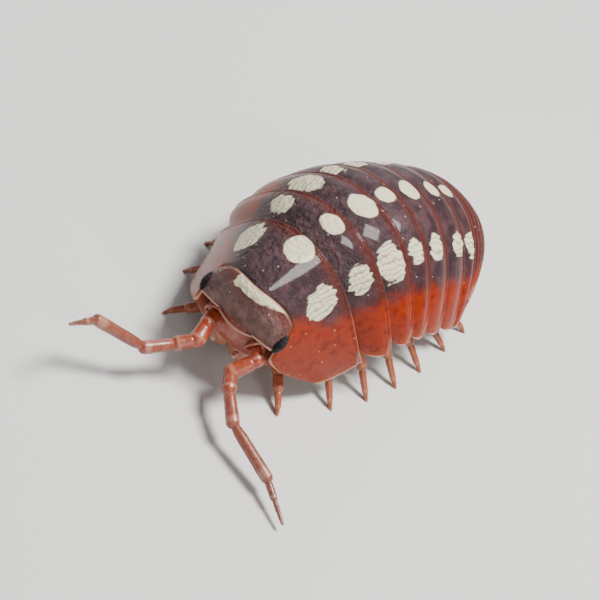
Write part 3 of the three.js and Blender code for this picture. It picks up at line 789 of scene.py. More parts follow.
@dataclass
class Back:
    """The twelve rings of the body, each a back plate with its flaps and belly.

    The two lists of spots hold one spot a plate: its place along the crest, its half
    length and its half width.
    """

    plate_ends: tuple = (0, 3.05, 5.04, 7.06, 8.71, 10.57, 12.48, 13.87)
    tail_ends: tuple = (13.87, 14.4, 14.95, 15.5, 16.05, 16.6)
    first_front: float = 0.04
    sweep: tuple = (0.7, 1.0, 0.75, 1.0, 1.1, 1.0, 0.5)
    rear_round: tuple = (0.1, 0.4, 0.4, 0.4, 0.4, 0.4, 0.25)
    front_round: tuple = (0.0, 0.2, 0.2, 0.2, 0.2, 0.2, 0.1)
    tail_round: float = 0.1
    tail_lean: float = 0.5
    bulge: tuple = (0.36, 0.2, 0.16, 0.14, 0.14, 0.12, 0.1)
    gap: float = 0.14
    rim_thick: float = 0.11
    front_radius: float = 0.16
    flap_edge_thick: float = 0.12
    side_spot: float = 0.335
    median: tuple = ((2.45, 0.62, 0.62), (4.37, 0.46, 0.5), (6.3, 0.56, 0.68), (7.95, 0.4, 0.45),
                     (9.85, 0.46, 0.5), (11.85, 0.36, 0.42), (13.2, 0.3, 0.4))
    lateral: tuple = ((1.9, 0.72, 0.66), (4.0, 0.5, 0.62), (5.95, 0.6, 0.84), (7.85, 0.36, 0.5),
                      (9.7, 0.42, 0.52), (11.85, 0.4, 0.54), (13.35, 0.32, 0.46))
    flank_start: tuple = (0.50, 0.515, 0.535, 0.55, 0.56, 0.558, 0.55)
    tail_flank_start: float = 0.5
    flank_mm_per_share: float = 7.3
    across_mm_per_share: float = 6.2
    columns: int = 241
    body_rows: int = 44
    lip_rows: int = 14
    rim_rows: int = 6

    def __post_init__(self) -> None:
        """Gathers the cream spots of the seven large plates."""
        self.spots: list[Spot] = []
        for s, half_s, half_across in self.median:
            self.spots.append(Spot(s, 0.0, half_s, half_across, False))
        for s, half_s, half_across in self.lateral:
            for side in (self.side_spot, -self.side_spot):
                self.spots.append(Spot(s, side, half_s, half_across, True))

    def sides(self) -> np.ndarray:
        """Side shares across the back, closer together towards both edges."""
        u = np.linspace(-1, 1, self.columns)
        return np.sign(u) * (1 - (1 - np.abs(u)) ** 1.6)

    def rows(
        self, front: float, rear: float, kind: Ring
    ) -> tuple[np.ndarray, np.ndarray, np.ndarray, np.ndarray]:
        """Lengthwise stations of one ring.

        The outer surface climbs out from under the plate before it, runs level and ends in a
        thin raised rim that is rounded like a half circle. The inner one is the belly, then a
        step up to the underside of the overlapping lip.

        Args:
            front: Where the plate begins to show.
            rear: Its rear margin.
            kind: How the ring overlaps the next.

        Returns:
            Distances along the crest, outer depths, inner depths, and 1 where the inner
            surface is the belly.
        """
        start = front - (0.0 if kind.first else kind.lip - self.gap)
        lip_start = rear - kind.lip
        half = self.rim_thick / 2
        shown = rear - front
        turn = np.linspace(0, np.pi / 2, self.rim_rows + 1)[1:]
        s = np.concatenate([
            np.linspace(start, lip_start - 0.02, self.body_rows),
            np.linspace(lip_start, rear - half, self.lip_rows),
            rear - half + half * np.sin(turn),
        ])
        share = np.clip((s - front) / (0.7 * shown), 0, 1)
        if kind.first:
            edge = np.clip((s - front) / self.front_radius, 0, 1)
            outer = self.front_radius * (1 - np.sqrt(1 - (1 - edge) ** 2))
        else:
            outer = (kind.thick + self.gap) * (1 - share) ** 1.5
        from_rear = rear - s
        outer = outer - 0.012 * np.exp(-(((from_rear - 0.07) / 0.04) ** 2))
        outer = outer + 0.02 * np.exp(-(((from_rear - 0.19) / 0.06) ** 2))
        inner = mix(self.rim_thick, kind.thick, np.clip(from_rear / kind.lip, 0, 1))
        outer[-self.rim_rows :] = half - half * np.cos(turn) * (1 + 0.25 * np.cos(turn))
        inner[-self.rim_rows :] = half + half * np.cos(turn)
        belly = (s < lip_start).astype(float)
        return s, outer, inner, belly

    def ring(self, name: str, front: float, rear: float, kind: Ring, flank: float) -> None:
        """Builds one ring of the body.

        Args:
            name: The node it stands for.
            front: Where the plate begins to show, along the crest.
            rear: Its rear margin.
            kind: Its shape.
            flank: The side share where the orange begins.
        """
        rows, outer_depth, inner_depth, belly = self.rows(front, rear, kind)
        side = self.sides() * kind.reach
        t = np.abs(side)[None]
        shown = rear - front
        share = (rows[:, None] - front) / shown
        s = mix(kind.front_line(t), kind.rear_line(t), share)
        side = np.broadcast_to(side[None], s.shape)
        edge = np.clip((np.abs(side) / kind.reach - 0.975) / 0.025, 0, 1)
        closing = np.sqrt(np.maximum(0, 1 - edge**2))
        half = self.flap_edge_thick / 2
        outer_at = outer_depth[:, None] + half * (1 - closing)
        hang = kind.bulge * smoothstep(0.72, 1.0, t) * np.clip(4 * share * (1 - share), 0, 1)
        hang = -hang[..., None] * PLAN.axes(s)[2]
        outer = PLAN.arch(s, side, outer_at) + hang
        flap = smoothstep(PLAN.flap_start * 0.9, 1.0, np.abs(side) / kind.reach)
        thick = mix(PLAN.skirt, self.flap_edge_thick, flap) * closing + half * (1 - closing)
        low = PLAN.under(s, side, outer_at + thick, kind) + hang
        roof = PLAN.arch(s, side, np.maximum(inner_depth[:, None], outer_at)) + hang
        inner = np.where(belly[:, None, None] > 0, low, roof)
        fields = self.fields(outer, s, side, kind.first, flank)
        joined = {
            key: np.stack([value, np.full(s.shape, INSIDE[key])]) for key, value in fields.items()
        }
        cloth = Cloth()
        cloth.add(np.stack([outer, inner]), slab_faces(*s.shape), **joined)
        piece = name.replace("tergite", "back_plate").replace("pleonite", "tail_plate")
        cloth.piece(piece, SHELL, "shell", [name])

    @classmethod
    def front_edge(cls, t: np.ndarray) -> np.ndarray:
        """Where the first plate's front edge lies along the crest, at each side share.

        It bows back over the head, reaches forward as a lobe below each eye and then
        slants back to the flap's lower edge.
        """
        over_head = cls.first_front + 0.33 * smoothstep(0, 0.3, t)
        return over_head - 1.35 * smoothstep(0.345, 0.535, t) + 2.0 * smoothstep(0.53, 1, t)

    def fields(
        self, outer: np.ndarray, s: np.ndarray, side: np.ndarray, first: bool, flank: float
    ) -> dict[str, np.ndarray]:
        """Measures how far each point lies from the margins, the spots and the flank's colour.

        Args:
            outer: The outer surface.
            s: Distances along the crest.
            side: Side shares.
            first: Whether the front edge shows.
            flank: The side share where the orange begins.

        Returns:
            One array per field, in millimetres, positive inside a spot or an orange flank.
        """
        rear = apart(outer, outer[-1:])
        edge = np.minimum(apart(outer, outer[:, :1]), apart(outer, outer[:, -1:]))
        start = flank * np.ones_like(s)
        if first:
            edge = np.minimum(edge, 1.3 * apart(outer, outer[:1]))
            start = mix(0.36, flank, smoothstep(0.6, 2.4, s))
        spot = np.full(s.shape, -FAR)
        streaked = np.zeros(s.shape)
        for one in self.spots:
            middle = PLAN.arch(np.array(one.s), np.array(one.side), np.array(0.0))
            away = outer - middle
            back = PLAN.heading(np.array(one.s))
            lengthwise = away @ back
            across = np.sqrt(np.maximum(0, (away**2).sum(-1) - lengthwise**2))
            inside = 1 - np.sqrt((lengthwise / one.half_s) ** 2 + (across / one.half_across) ** 2)
            inside *= min(one.half_s, one.half_across)
            streaked = np.where(inside > spot, float(one.streaked), streaked)
            spot = np.maximum(spot, inside)
        return {
            "rear_mm": rear,
            "edge_mm": edge,
            "spot_mm": spot,
            "streaked": streaked,
            "flank_mm": (np.abs(side) - start) * self.flank_mm_per_share,
            "under": np.zeros(s.shape),
            "along_mm": s,
            "across_mm": side * self.across_mm_per_share,
        }

    def line(self, end: int, cut: float, power: float) -> Callable[[np.ndarray], np.ndarray]:
        """One margin of the large plates, as a function of the side share.

        Args:
            end: Which margin, counted from the first plate's front.
            cut: How far its corner is moved along the crest by rounding, in millimetres.
            power: How late the rounding begins.

        Returns:
            The margin's place along the crest.
        """
        start, sweep = self.plate_ends[end], self.sweep[end - 1]
        return lambda t: start + sweep * t**4 + cut * corner_cut(t, power)

    def tail_line(self, start: float, cut: float) -> Callable[[np.ndarray], np.ndarray]:
        """One margin of the tail rings, as a function of the side share."""
        lean = self.tail_lean * float(smoothstep(14.6, 16, start))
        return lambda t: start + lean * t**3 + cut * corner_cut(t, 7)

    def build(self) -> None:
        """Builds the seven large rings and the five short tail rings."""
        for i in range(7):
            length = self.plate_ends[i + 1] - self.plate_ends[i]
            kind = Ring(
                front_line=self.line(i, self.front_round[i] * length, 7) if i else self.front_edge,
                rear_line=self.line(i + 1, -self.rear_round[i] * length, 9),
                bulge=self.bulge[i],
                first=i == 0,
            )
            front = self.plate_ends[i] if i else self.first_front
            self.ring(f"tergite_{i + 1}", front, self.plate_ends[i + 1], kind, self.flank_start[i])
        for i in range(5):
            front, rear = self.tail_ends[i : i + 2]
            cut = self.tail_round * (rear - front)
            kind = Ring(
                front_line=self.tail_line(front, cut),
                rear_line=self.tail_line(rear, -cut),
                bulge=0.0,
                reach=0.7 if i < 2 else 0.98,
                level=0.56,
                lip=0.24,
                thick=0.18,
            )
            self.ring(f"pleonite_{i + 1}", front, rear, kind, self.tail_flank_start)


@dataclass
class Tail:
    """The tail shield and the paddle on each side of it.

    A plate's edges are side shares, and its narrowing is its width at the tip as a share of
    its width at the front.
    """

    start: float = 16.74
    tip: float = 17.9
    depth: float = 0.24
    shield_half: float = 0.32
    shield_narrowing: float = 0.5
    shield_thick: float = 0.7
    paddle_inner: float = 0.37
    paddle_outer: float = 0.68
    paddle_shorter: float = 0.1
    paddle_narrowing: float = 0.8
    paddle_thick: float = 0.6
    rows: int = 40
    columns: int = 60

    def plate(
        self, name: str, low: float, high: float, tip: float, narrowing: float, thick: float
    ) -> None:
        """Builds one plate that tapers towards its tip.

        Args:
            name: The node it stands for.
            low: The side share of one edge.
            high: The side share of the other.
            tip: Where it ends along the crest.
            narrowing: Its width at the tip as a share of its width at the front.
            thick: Its thickness.
        """
        v = np.linspace(0, 1, self.rows)[:, None]
        u = np.linspace(-1, 1, self.columns)[None]
        round_u = np.sqrt(np.maximum(0, 1 - np.abs(u) ** 6))
        round_v = np.sqrt(np.maximum(0, 1 - np.clip((v - 0.8) / 0.2, 0, 1) ** 2))
        half = (high - low) / 2 * mix(1, narrowing, v)
        s = mix(self.start, tip - 0.25 * u * u * v, v) + 0 * u
        side = (low + high) / 2 + u * half
        fat = thick * round_u * round_v
        depth = self.depth + (thick - fat) * 0.35
        outer = PLAN.arch(s, side, depth)
        inner = PLAN.arch(s, side, depth + np.maximum(fat, 0.004))
        rear = apart(outer, outer[-1:])
        edge = np.minimum(apart(outer, outer[:, :1]), apart(outer, outer[:, -1:]))
        one = np.ones(s.shape)
        cloth = Cloth()
        cloth.add(
            np.stack([outer, inner]),
            slab_faces(*s.shape),
            rear_mm=np.stack([rear, rear]),
            edge_mm=np.stack([edge, edge]),
            spot_mm=-FAR,
            streaked=0.0,
            flank_mm=np.stack([(np.abs(side) - 0.3) * 5, FAR * one]),
            under=np.stack([0 * one, one]),
        )
        cloth.piece(f"{name}_plate", SHELL, "shell", [name])

    def build(self) -> None:
        """Builds the shield and both paddles."""
        half, tip = self.shield_half, self.tip
        self.plate("telson", -half, half, tip, self.shield_narrowing, self.shield_thick)
        tip = self.tip - self.paddle_shorter
        for side in Side:
            low, high = sorted((side.value * self.paddle_inner, side.value * self.paddle_outer))
            name = f"uropod_{side.word}"
            self.plate(name, low, high, tip, self.paddle_narrowing, self.paddle_thick)


@dataclass
class Article:
    """One article of a limb: a swollen tube with a rounded end and a pale rim near it."""

    start: np.ndarray
    end: np.ndarray
    first: float
    last: float
    reach: tuple[float, float]
    tapered: bool = False
    neck: float = 0.74
    neck_share: float = 0.3
    swelling: float = 0.07
    swelling_at: float = 0.86
    bristle_half_width: float = 0.011

    def add_to(self, cloth: Cloth, rings: int = 30, around: int = 22) -> None:
        """Adds the article's surface.

        The radius grows quickly from a narrow neck, dips a little, swells before the end and
        closes like a half ball just past the joint.

        Args:
            cloth: The piece that it belongs to.
            rings: Rings along it.
            around: Points in a ring.
        """
        axis = self.end - self.start
        length = float(np.linalg.norm(axis))
        t = 0.5 - 0.5 * np.cos(np.linspace(0, np.pi, rings))
        cap = self.last * 0.9 if not self.tapered else self.last
        place = t * (length + cap)
        plain = mix(self.first, self.last, place / (length + cap))
        off = (place - length * self.swelling_at) / (0.16 * length)
        swell = 1 + self.swelling * np.exp(-(off**2))
        neck = mix(self.neck, 1.0, smoothstep(0.0, self.neck_share * length, place))
        closing = np.clip((place - length) / cap, 0, 1)
        opening = np.clip(1 - place / (0.35 * self.first), 0, 1)
        ends = np.sqrt(1 - closing**2 * 0.995) * np.sqrt(1 - opening**2 * 0.995)
        radius = plain * swell * neck * ends
        path = self.start + axis * (place / length)[:, None]
        points = tube(path, radius, around)
        fade = mix(self.reach[0], self.reach[1], t)
        rim = smoothstep(0.16, 0.05, np.abs(place - length * 0.93) / max(length, 0.5) * 1.4)
        spread = np.concatenate([np.repeat(fade, around), fade[:1], fade[-1:]])
        pale = np.concatenate([np.repeat(rim, around), [0.0, 0.0]])
        cloth.add(points, tube_faces(rings, around), reach=spread, rim=pale)

    def bristles(self, cloth: Cloth, count: int, size: float, seed: int) -> None:
        """Adds short stiff hairs that lean towards the article's end.

        Args:
            cloth: The piece that they belong to.
            count: How many.
            size: Their length.
            seed: Start of the random draw.
        """
        draw = np.random.default_rng(seed)
        axis = self.end - self.start
        length = float(np.linalg.norm(axis))
        way = axis / length
        side = np.cross(way, UPRIGHT)
        side /= np.linalg.norm(side)
        other = np.cross(side, way)
        t = draw.uniform(0.12, 0.97, count)
        turn = draw.uniform(0, 2 * np.pi, count)
        out = side * np.cos(turn)[:, None] + other * np.sin(turn)[:, None]
        radius = mix(self.first, self.last, t)
        radius = radius * mix(self.neck, 1.0, smoothstep(0.0, self.neck_share, t))
        foot = self.start + axis * t[:, None] + out * (radius * 0.93)[:, None]
        lean = out * 0.75 + way * 0.8
        tip = foot + lean * (size * draw.uniform(0.6, 1.2, count))[:, None]
        across = np.cross(out, way)
        base = self.bristle_half_width
        low = foot - across * base * 0.6
        corners = np.stack([foot + across * base, low + way * base, low - way * base, tip], 1)
        number = np.arange(count)[:, None] * 4
        sets = ([0, 2, 3, 3], [2, 1, 3, 3], [1, 0, 3, 3], [0, 1, 2, 2])
        faces = np.vstack([number + np.array(one)[None] for one in sets])
        fade = np.repeat(mix(self.reach[0], self.reach[1], t), 4)
        cloth.add(corners, faces, reach=fade, rim=0.6)


@dataclass
class Feelers:
    """The two long feelers: three short articles at the base, two long ones and the lash."""

    right: tuple = ((-1.93, -4.79, 2.6), (-1.75, -5.46, 2.47), (-1.59, -6.10, 2.13),
                    (-2.03, -6.65, 1.83), (-2.71, -7.81, 1.69), (-4.30, -9.27, 2.6),
                    (-4.54, -10.91, 3.18))
    left: tuple = ((0.02, -4.79, 2.6), (0.53, -5.06, 2.37), (0.09, -5.80, 1.74),
                   (0.52, -6.40, 1.6), (1.54, -7.23, 1.22), (3.87, -7.81, 0.83),
                   (5.46, -8.62, 0.4))
    radii: tuple = ((0.26, 0.31), (0.3, 0.31), (0.27, 0.28), (0.23, 0.26), (0.22, 0.23))
    lash_radii: tuple = ((0.15, 0.125), (0.115, 0.05))
    lash_knuckle: float = 0.45
    hair: float = 0.075
    hairs: tuple = (60, 150, 240, 110)

    def joints(self, side: Side) -> list[np.ndarray]:
        """Places of one feeler's joints, from its root in the face to its tip."""
        return [np.array(place) for place in (self.left if side is Side.LEFT else self.right)]

    def build(self) -> None:
        """Builds both feelers, node by node."""
        for side in Side:
            points = self.joints(side)
            articles = [
                Article(points[k], points[k + 1], first, last, (k / 6, (k + 1) / 6))
                for k, (first, last) in enumerate(self.radii)
            ]
            knuckle = mix(points[5], points[6], self.lash_knuckle)
            lower, upper = self.lash_radii
            lash = [
                Article(points[5], knuckle, *lower, (0.8, 0.9)),
                Article(knuckle, points[6], *upper, (0.9, 1.0), True),
            ]
            parts = {
                "base": articles[:3],
                "article_4": articles[3:4],
                "article_5": articles[4:],
                "flagellum": lash,
            }
            for (part, chosen), hairs in zip(parts.items(), self.hairs):
                self.node(f"antenna_{side.word}_{part}", chosen, hairs)

    def node(self, name: str, articles: list[Article], hairs: int) -> None:
        """Builds one node of a feeler with its fine hairs."""
        cloth = Cloth()
        for k, article in enumerate(articles):
            article.add_to(cloth)
            article.bristles(cloth, hairs, self.hair, sum(map(ord, name)) + k)
        cloth.piece(name.replace("antenna", "feeler"), FEELER, "feeler", [name])


@dataclass
class Legs:
    """Seven pairs of short legs, each a thigh and a shank of four articles and a claw.

    The feet stand out from the body's edge and ahead of or behind the root, in millimetres
    for each pair, and the joints between lie at shares of the way.
    """

    foot_out: tuple = (-0.3, 0.1, 0.3, 0.45, 0.45, 0.3, 0.1)
    foot_ahead: tuple = (-1.5, -1.0, -0.5, 0.0, 0.5, 1.0, 1.4)
    radii: tuple = ((0.25, 0.31), (0.28, 0.28), (0.27, 0.27), (0.25, 0.24), (0.23, 0.19),
                    (0.16, 0.11), (0.1, 0.05))
    root_in: float = 1.5
    root_under: float = 0.2
    knee_in: float = 0.36
    knee_height: float = 0.58
    knee_ahead: float = 0.12
    ankle_way: float = 0.42
    ankle_height: float = 0.86
    ankle_least: float = 0.75
    shin_height: float = 0.64
    claw_least: float = 0.24
    hair: float = 0.11
    upper_hairs: int = 14
    lower_hairs: int = 26

    def joints(self, i: int, side: Side) -> list[np.ndarray]:
        """Places of one leg's joints, from its root under the belly to its foot on the floor.

        Args:
            i: The pair, from 0.
            side: The side it is on.

        Returns:
            Eight points.
        """
        s = np.array((Back.plate_ends[i] + Back.plate_ends[i + 1]) / 2 - Ring.lip / 2)
        half = float(PLAN.along(PLAN.half_width, s))
        belly = float(PLAN.along(PLAN.depth, s)) * Ring.level
        under = np.array(belly + self.root_under + 2 * Back.gap)
        root = PLAN.at(s, np.array(side.value * (half - self.root_in)), under)
        foot = PLAN.at(s, np.array(side.value * (half + self.foot_out[i])), np.array(belly))
        foot[1] += self.foot_ahead[i]
        foot[2] = 0.0
        knee = mix(root, PLAN.at(s, np.array(0.0), np.array(belly)), self.knee_in)
        knee[2] = root[2] * self.knee_height
        knee[1] = mix(root[1], foot[1], self.knee_ahead)
        ankle = mix(knee, foot, self.ankle_way)
        ankle[2] = max(knee[2] * self.ankle_height, self.ankle_least)
        thigh = mix(root, knee, 0.55)
        shin = mix(ankle, foot, self.ankle_way)
        shin[2] = ankle[2] * self.shin_height
        calf = mix(knee, ankle, 0.5)
        claw = mix(shin, foot, 0.75)
        claw[2] = max(self.claw_least, claw[2])
        return [root, thigh, knee, calf, ankle, shin, claw, foot]

    def build(self) -> None:
        """Builds every leg as a thigh piece and a shank piece."""
        for side in Side:
            for i in range(7):
                points = self.joints(i, side)
                stem = f"leg_{side.word}_{i + 1}"
                articles = [
                    Article(points[k], points[k + 1], *ends, (k / 7, (k + 1) / 7), k == 6)
                    for k, ends in enumerate(self.radii)
                ]
                self.node(f"{stem}_upper", articles[:2], self.upper_hairs)
                self.node(f"{stem}_lower", articles[2:], self.lower_hairs)

    def node(self, name: str, articles: list[Article], hairs: int) -> None:
        """Builds one node of a leg, with nothing reaching under the floor."""
        cloth = Cloth()
        for k, article in enumerate(articles):
            article.add_to(cloth, 18, 16)
            article.bristles(cloth, hairs, self.hair, sum(map(ord, name)) + k)
        for points in cloth.points:
            np.maximum(points[:, 2], 0.0, out=points[:, 2])
        cloth.piece(f"{name}_skin", LEG, "limb", [name])


@dataclass
class Head:
    """The head: a domed plate with a sharp front ridge, a face under it, eyes and jaws.

    Places on the head are given to the left, towards the neck and out of its sloping top,
    from its middle. Those of the face and the jaws are given in the body's frame.
    """

    centre: tuple = (-0.98, -3.761, 3.02)
    slope_deg: float = 51.0
    ridge_half: float = 1.76
    rear_share: float = 0.43
    plate_dome: float = 0.34
    plate_rows: int = 110
    plate_columns: int = 200
    patch_deep: float = 0.47
    patch_half: float = 1.62
    patch_streaks: float = 0.35
    bow_half: float = 0.86
    ridge_thick: float = 0.05
    bow_thick: float = 0.045
    capsule_half: tuple = (1.72, 0.72, 1.0)
    triangle_centre: tuple = (0.0, -0.62, 0.62)
    triangle_half: tuple = (0.84, 0.3, 0.34)
    face_centre: tuple = (-0.98, -4.291, 2.45)
    face_half: tuple = (1.45, 0.66, 0.78)
    socket_radius: float = 0.34
    socket_thick: float = 0.075
    jaw_centre: tuple = (0.52, -4.091, 1.62)
    jaw_half: tuple = (0.6, 0.6, 0.62)
    eye_centre: tuple = (1.84, -0.25, 0.93)
    eye_half: tuple = (0.2, 0.42, 0.3)
    lens_deg: float = 19.5
    lens_height: float = 0.035

    def __post_init__(self) -> None:
        """Works out the head's own axes from the slope of its top."""
        self.middle = np.array(self.centre)
        slope = math.radians(self.slope_deg)
        self.axes = np.array([
            [1.0, 0.0, 0.0],
            [0.0, math.cos(slope), math.sin(slope)],
            [0.0, -math.sin(slope), math.cos(slope)],
        ])

    def local(self, x: float, y: float, z: float) -> np.ndarray:
        """A point given to the left, towards the neck and out of the top, from the middle."""
        return self.middle + np.array([x, y, z]) @ self.axes

    def margin(self, u: np.ndarray) -> np.ndarray:
        """The front margin of the head plate, from the right eye at -1 to the left eye at 1."""
        bow = 1 - u**2
        own = np.stack([self.ridge_half * u, -0.66 - 0.04 * bow, 0.98 + 0.16 * bow], -1)
        return self.middle + own @ self.axes

    def plate(self) -> None:
        """The dark domed plate between the front margin and the first back plate.

        It is the straight way from one margin to the other, swollen outwards by a dome that
        falls off steeply at all four edges, and it has a cream patch along its rear edge.
        """
        v = 0.5 - 0.5 * np.cos(np.linspace(0, np.pi, self.plate_rows))[:, None]
        u = np.sin(np.linspace(-np.pi / 2, np.pi / 2, self.plate_columns))[None]
        share = self.rear_share * u[0]
        rear = PLAN.arch(Back.front_edge(np.abs(share)) - 0.05, share, 0.02 + 0 * share)
        front = self.margin(u[0])
        base = front[None] + (rear - front)[None] * v[..., None]
        out = np.cross(np.gradient(base, axis=1), np.gradient(base, axis=0))
        out /= np.linalg.norm(out, axis=-1, keepdims=True)
        level = 4 * v * (1 - v)
        dome = self.plate_dome * level**0.75 * (1 - u**6) ** 0.5
        outer = base + out * dome[..., None]
        inner = base - out * (0.02 + 0.4 * (level * (1 - u**4)) ** 0.5)[..., None]
        x = (outer - self.middle)[..., 0]
        to_rear = apart(outer, outer[-1:])
        patch = self.patch_deep * (1 - ((x + 0.1) / self.patch_half) ** 2) - to_rear
        patch = np.minimum(patch, x + 0.82)
        one = np.ones(x.shape)
        cloth = Cloth()
        cloth.add(
            np.stack([outer, inner]),
            slab_faces(*x.shape),
            rear_mm=np.stack([to_rear, FAR * one]),
            edge_mm=FAR,
            spot_mm=np.stack([patch, -FAR * one]),
            streaked=self.patch_streaks,
            flank_mm=-FAR,
            under=np.stack([0 * one, one]),
            along_mm=np.stack([x, x]),
            across_mm=np.stack([to_rear, to_rear]),
        )
        self.ridges(cloth)
        cloth.piece("head_plate", HEAD_SHELL, "shell", ["head"])

    def ridges(self, cloth: Cloth) -> None:
        """Adds the pale ridges: one on each side of the front margin, one bowed between them."""
        u = np.linspace(-1, 1, 90)
        bowed = np.stack([self.bow_half * u, -0.93 + 0.2 * u**2, 0.86 + 0.1 * (1 - u**2)], -1)
        aside = u[:40] * 0.62 - 0.38
        paths = (
            (self.margin(aside), self.ridge_thick),
            (self.margin(-aside), self.ridge_thick),
            (self.middle + bowed @ self.axes, self.bow_thick),
        )
        for path, thick in paths:
            along = np.linspace(-1, 1, len(path))
            radius = thick * np.sqrt(np.maximum(0.02, 1 - np.abs(along) ** 8))
            cloth.add(
                tube(path, radius, 12),
                tube_faces(len(path), 12),
                rear_mm=0.0,
                edge_mm=0.0,
                spot_mm=-FAR,
                streaked=0.0,
                flank_mm=FAR,
                under=0.0,
            )

    def capsule(self) -> None:
        """The head's body under its plate, and the shallow triangle below the bowed ridge."""
        cloth = Cloth()
        half = self.axes * np.array(self.capsule_half)[:, None]
        points, _ = boulder(self.local(0.0, 0.0, -0.1), half, 0.5, 60, 90, 0.35)
        cloth.add(points, tube_faces(60, 90), reach=0.1, rim=0.0)
        half = self.axes * np.array(self.triangle_half)[:, None]
        points, _ = boulder(self.local(*self.triangle_centre), half, 0.8, 30, 60)
        cloth.add(points, tube_faces(30, 60), reach=0.0, rim=0.0)
        cloth.piece("head_capsule", FLESH, "flesh", [])

    def face(self) -> None:
        """The orange face below the ridge, with a raised ring round each feeler's root."""
        half = np.diag(self.face_half)
        points, _ = boulder(np.array(self.face_centre), half, 0.8, 50, 80)
        cloth = Cloth()
        cloth.add(points, tube_faces(50, 80), reach=0.1, rim=0.0)
        turn = np.linspace(0, 2 * np.pi, 49)
        for side in Side:
            root, out = Feelers().joints(side)[:2]
            way = (out - root) / np.linalg.norm(out - root)
            first = np.cross(way, [0, 0, 1.0])
            first /= np.linalg.norm(first)
            second = np.cross(first, way)
            circle = np.cos(turn)[:, None] * first + np.sin(turn)[:, None] * second
            ring = root + way * 0.04 + self.socket_radius * circle
            points = tube(ring, np.full(len(turn), self.socket_thick), 12)
            cloth.add(points, tube_faces(len(turn), 12), reach=0.0, rim=0.25)
        cloth.piece("face", FLESH, "flesh", [])

    def jaws(self) -> None:
        """The two jaw-feet under the face, with a groove between them and short palps."""
        cloth = Cloth()
        for side in Side:
            x, y, z = self.jaw_centre
            centre = np.array([self.middle[0] + side.value * x, y, z])
            points, _ = boulder(centre, np.diag(self.jaw_half), 0.85, 40, 50)
            cloth.add(points, tube_faces(40, 50), reach=0.6, rim=0.0)
            start = centre + np.array([side.value * 0.1, -0.45, 0.1])
            end = start + np.array([-side.value * 0.12, -0.22, -0.3])
            Article(start, end, 0.14, 0.09, (0.5, 0.9)).add_to(cloth, 16, 14)
        cloth.piece("jaw_feet", FLESH, "flesh", ["mouthparts"])

    def eye(self, side: Side) -> None:
        """One eye: an oval dome set with rows of small round lenses.

        The lenses are bumps on a grid of rings, each the height of a small dome over the
        nearest lens middle.

        Args:
            side: The side it is on.
        """
        x, y, z = self.eye_centre
        centre = self.local(side.value * x, y, z)
        half = self.axes * np.array(self.eye_half)[:, None]
        rows, around = 90, 140
        points, own = boulder(centre, half, 1.0, rows, around)
        tilt = np.arcsin(np.clip(own[:, 1], -1, 1))
        turn = np.arctan2(own[:, 2], own[:, 0])
        pitch = math.radians(self.lens_deg)
        band = np.round(tilt / pitch)
        ring_turn = turn * np.cos(band * pitch) / pitch + 0.5 * (band % 2)
        away = np.hypot(tilt / pitch - band, ring_turn - np.round(ring_turn))
        bump = self.lens_height * np.sqrt(np.maximum(0, 1 - (away / 0.5) ** 2))
        out = (points - centre) / np.linalg.norm(points - centre, axis=1, keepdims=True)
        cloth = Cloth()
        cloth.add(points + out * (bump - 0.02)[:, None], tube_faces(rows, around))
        cloth.piece(f"eye_lenses_{side.word}", EYE, "eye", [f"eye_{side.word}"])

    def build(self) -> None:
        """Builds the head plate, the face, the jaws and both eyes."""
        self.plate()
        self.capsule()
        self.face()
        self.jaws()
        for side in Side:
            self.eye(side)


@dataclass
class Gills:
    """The overlapping pale gill plates under the tail, which get smaller towards its end."""

    leaves: int = 5
    out: float = 1.12
    half_width: float = 0.95
    half_length: float = 0.62
    half_thick: float = 0.26
    tilt: float = 0.14
    under: float = 0.9
    level: float = 0.56

    def build(self) -> None:
        """Builds five leaves on each side, each thin and a little tilted."""
        for side in Side:
            cloth = Cloth()
            for i in range(self.leaves):
                place = (i + 0.6) / self.leaves
                s = np.array(mix(Back.tail_ends[0] + 0.3, Back.tail_ends[-1], place))
                back, left, up = PLAN.axes(s)
                low = np.array(float(PLAN.along(PLAN.depth, s)) * self.level + self.under)
                centre = PLAN.at(s, np.array(side.value * (self.out - 0.06 * i)), low)
                across = left * (self.half_width - 0.07 * i)
                leaf = back * self.half_length - up * self.tilt
                half = np.stack([across, leaf, up * self.half_thick])
                points, own = boulder(centre, half, 0.9, 30, 40)
                middle = np.hypot(own[:, 0] - side.value * 0.35, own[:, 1])
                white = smoothstep(0.55, 0.2, middle) * (i < 2)
                cloth.add(points, tube_faces(30, 40), reach=0.9, rim=white)
            cloth.piece(f"gill_plates_{side.word}", FLESH, "flesh", [f"pleopods_{side.word}"])


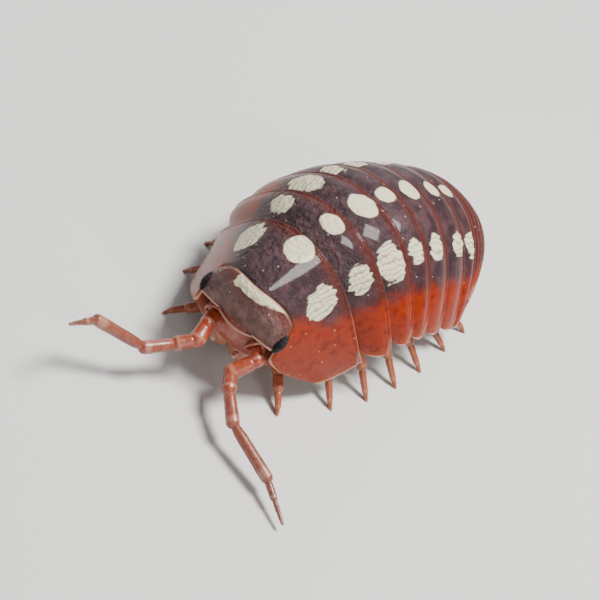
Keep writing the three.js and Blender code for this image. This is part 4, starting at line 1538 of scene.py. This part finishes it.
@dataclass
class Studio:
    """A pale floor, soft lights and the camera at the photograph's angle."""

    camera_mm: tuple = (16.786, -66.913, 60.082)
    azimuth_deg: float = 14.546
    elevation_deg: float = 40.222
    roll_deg: float = -31.195
    lens_mm: float = 138.29
    sensor_mm: float = 36.0
    floor_colour: Colour = (0.62, 0.62, 0.6076)
    floor_metres: float = 4.0
    target_mm: tuple = (0.0, 0.0, 3.0)
    sky_colour: Colour = (0.9, 0.93, 1.0)
    sky_strength: float = 0.22

    def floor(self) -> None:
        """A wide pale floor at the level of the feet."""
        bpy.ops.mesh.primitive_plane_add(size=self.floor_metres)
        plane = bpy.context.object
        plane.name = "floor"
        paint = bpy.data.materials.new("pale floor")
        paint.use_nodes = True
        shader = paint.node_tree.nodes["Principled BSDF"]
        shader.inputs["Base Color"].default_value = (*self.floor_colour, 1.0)
        shader.inputs["Roughness"].default_value = 0.9
        plane.data.materials.append(paint)

    def lamp(self, name: str, place: tuple, size: float, watts: float, tint: Colour) -> None:
        """One square soft light that looks at the animal.

        Args:
            name: The light's name.
            place: Where it hangs, in millimetres.
            size: Its width in millimetres.
            watts: Its power.
            tint: Its colour.
        """
        data = bpy.data.lights.new(name, "AREA")
        data.shape = "SQUARE"
        data.size = size * MM
        data.energy = watts
        data.color = tint
        lamp = bpy.data.objects.new(name, data)
        at = np.array(place, float)
        away = at - np.array(self.target_mm)
        away /= np.linalg.norm(away)
        side = np.cross([0.0, 0.0, 1.0], away)
        side /= np.linalg.norm(side)
        up = np.cross(away, side)
        turned = Matrix(np.stack([side, up, away], 1).tolist()).to_4x4()
        turned.translation = (at * MM).tolist()
        lamp.matrix_world = turned
        bpy.context.scene.collection.objects.link(lamp)

    def lights(self) -> None:
        """A large light over the animal, a fill from its left and a pale sky."""
        self.lamp("overhead", (24, 16, 110), 34, 0.30, (1.0, 0.98, 0.95))
        self.lamp("fill", (90, -60, 50), 80, 0.07, (1.0, 0.96, 0.92))
        self.lamp("rim", (-60, 90, 60), 60, 0.03, (0.93, 0.97, 1.0))
        world = bpy.data.worlds.new("pale sky")
        world.use_nodes = True
        sky = world.node_tree.nodes["Background"]
        sky.inputs["Color"].default_value = (*self.sky_colour, 1.0)
        sky.inputs["Strength"].default_value = self.sky_strength
        bpy.context.scene.world = world

    def camera(self) -> None:
        """The camera, turned about its own axis as the photograph is."""
        az = math.radians(self.azimuth_deg)
        el = math.radians(self.elevation_deg)
        roll = math.radians(self.roll_deg)
        ahead = -np.array([math.sin(az) * math.cos(el), -math.cos(az) * math.cos(el), math.sin(el)])
        level = np.array([math.cos(az), math.sin(az), 0.0])
        down = np.cross(ahead, level)
        right = level * math.cos(roll) + down * math.sin(roll)
        down = np.cross(ahead, right)
        data = bpy.data.cameras.new("camera")
        data.lens = self.lens_mm
        data.sensor_width = self.sensor_mm
        data.clip_start = 0.002
        data.clip_end = 20.0
        eye = bpy.data.objects.new("camera", data)
        turned = Matrix(np.stack([right, -down, -ahead], 1).tolist()).to_4x4()
        turned.translation = [c * MM for c in self.camera_mm]
        eye.matrix_world = turned
        bpy.context.scene.collection.objects.link(eye)
        bpy.context.scene.camera = eye

    def build(self) -> None:
        """Sets up the floor, the lights and the camera."""
        self.floor()
        self.lights()
        self.camera()


def main() -> None:
    """Builds the animal from head to tail, then the studio."""
    logging.basicConfig(level=logging.INFO)
    Back().build()
    Head().build()
    Feelers().build()
    Legs().build()
    Tail().build()
    Gills().build()
    Studio().build()


if __name__ == "__main__":
    main()
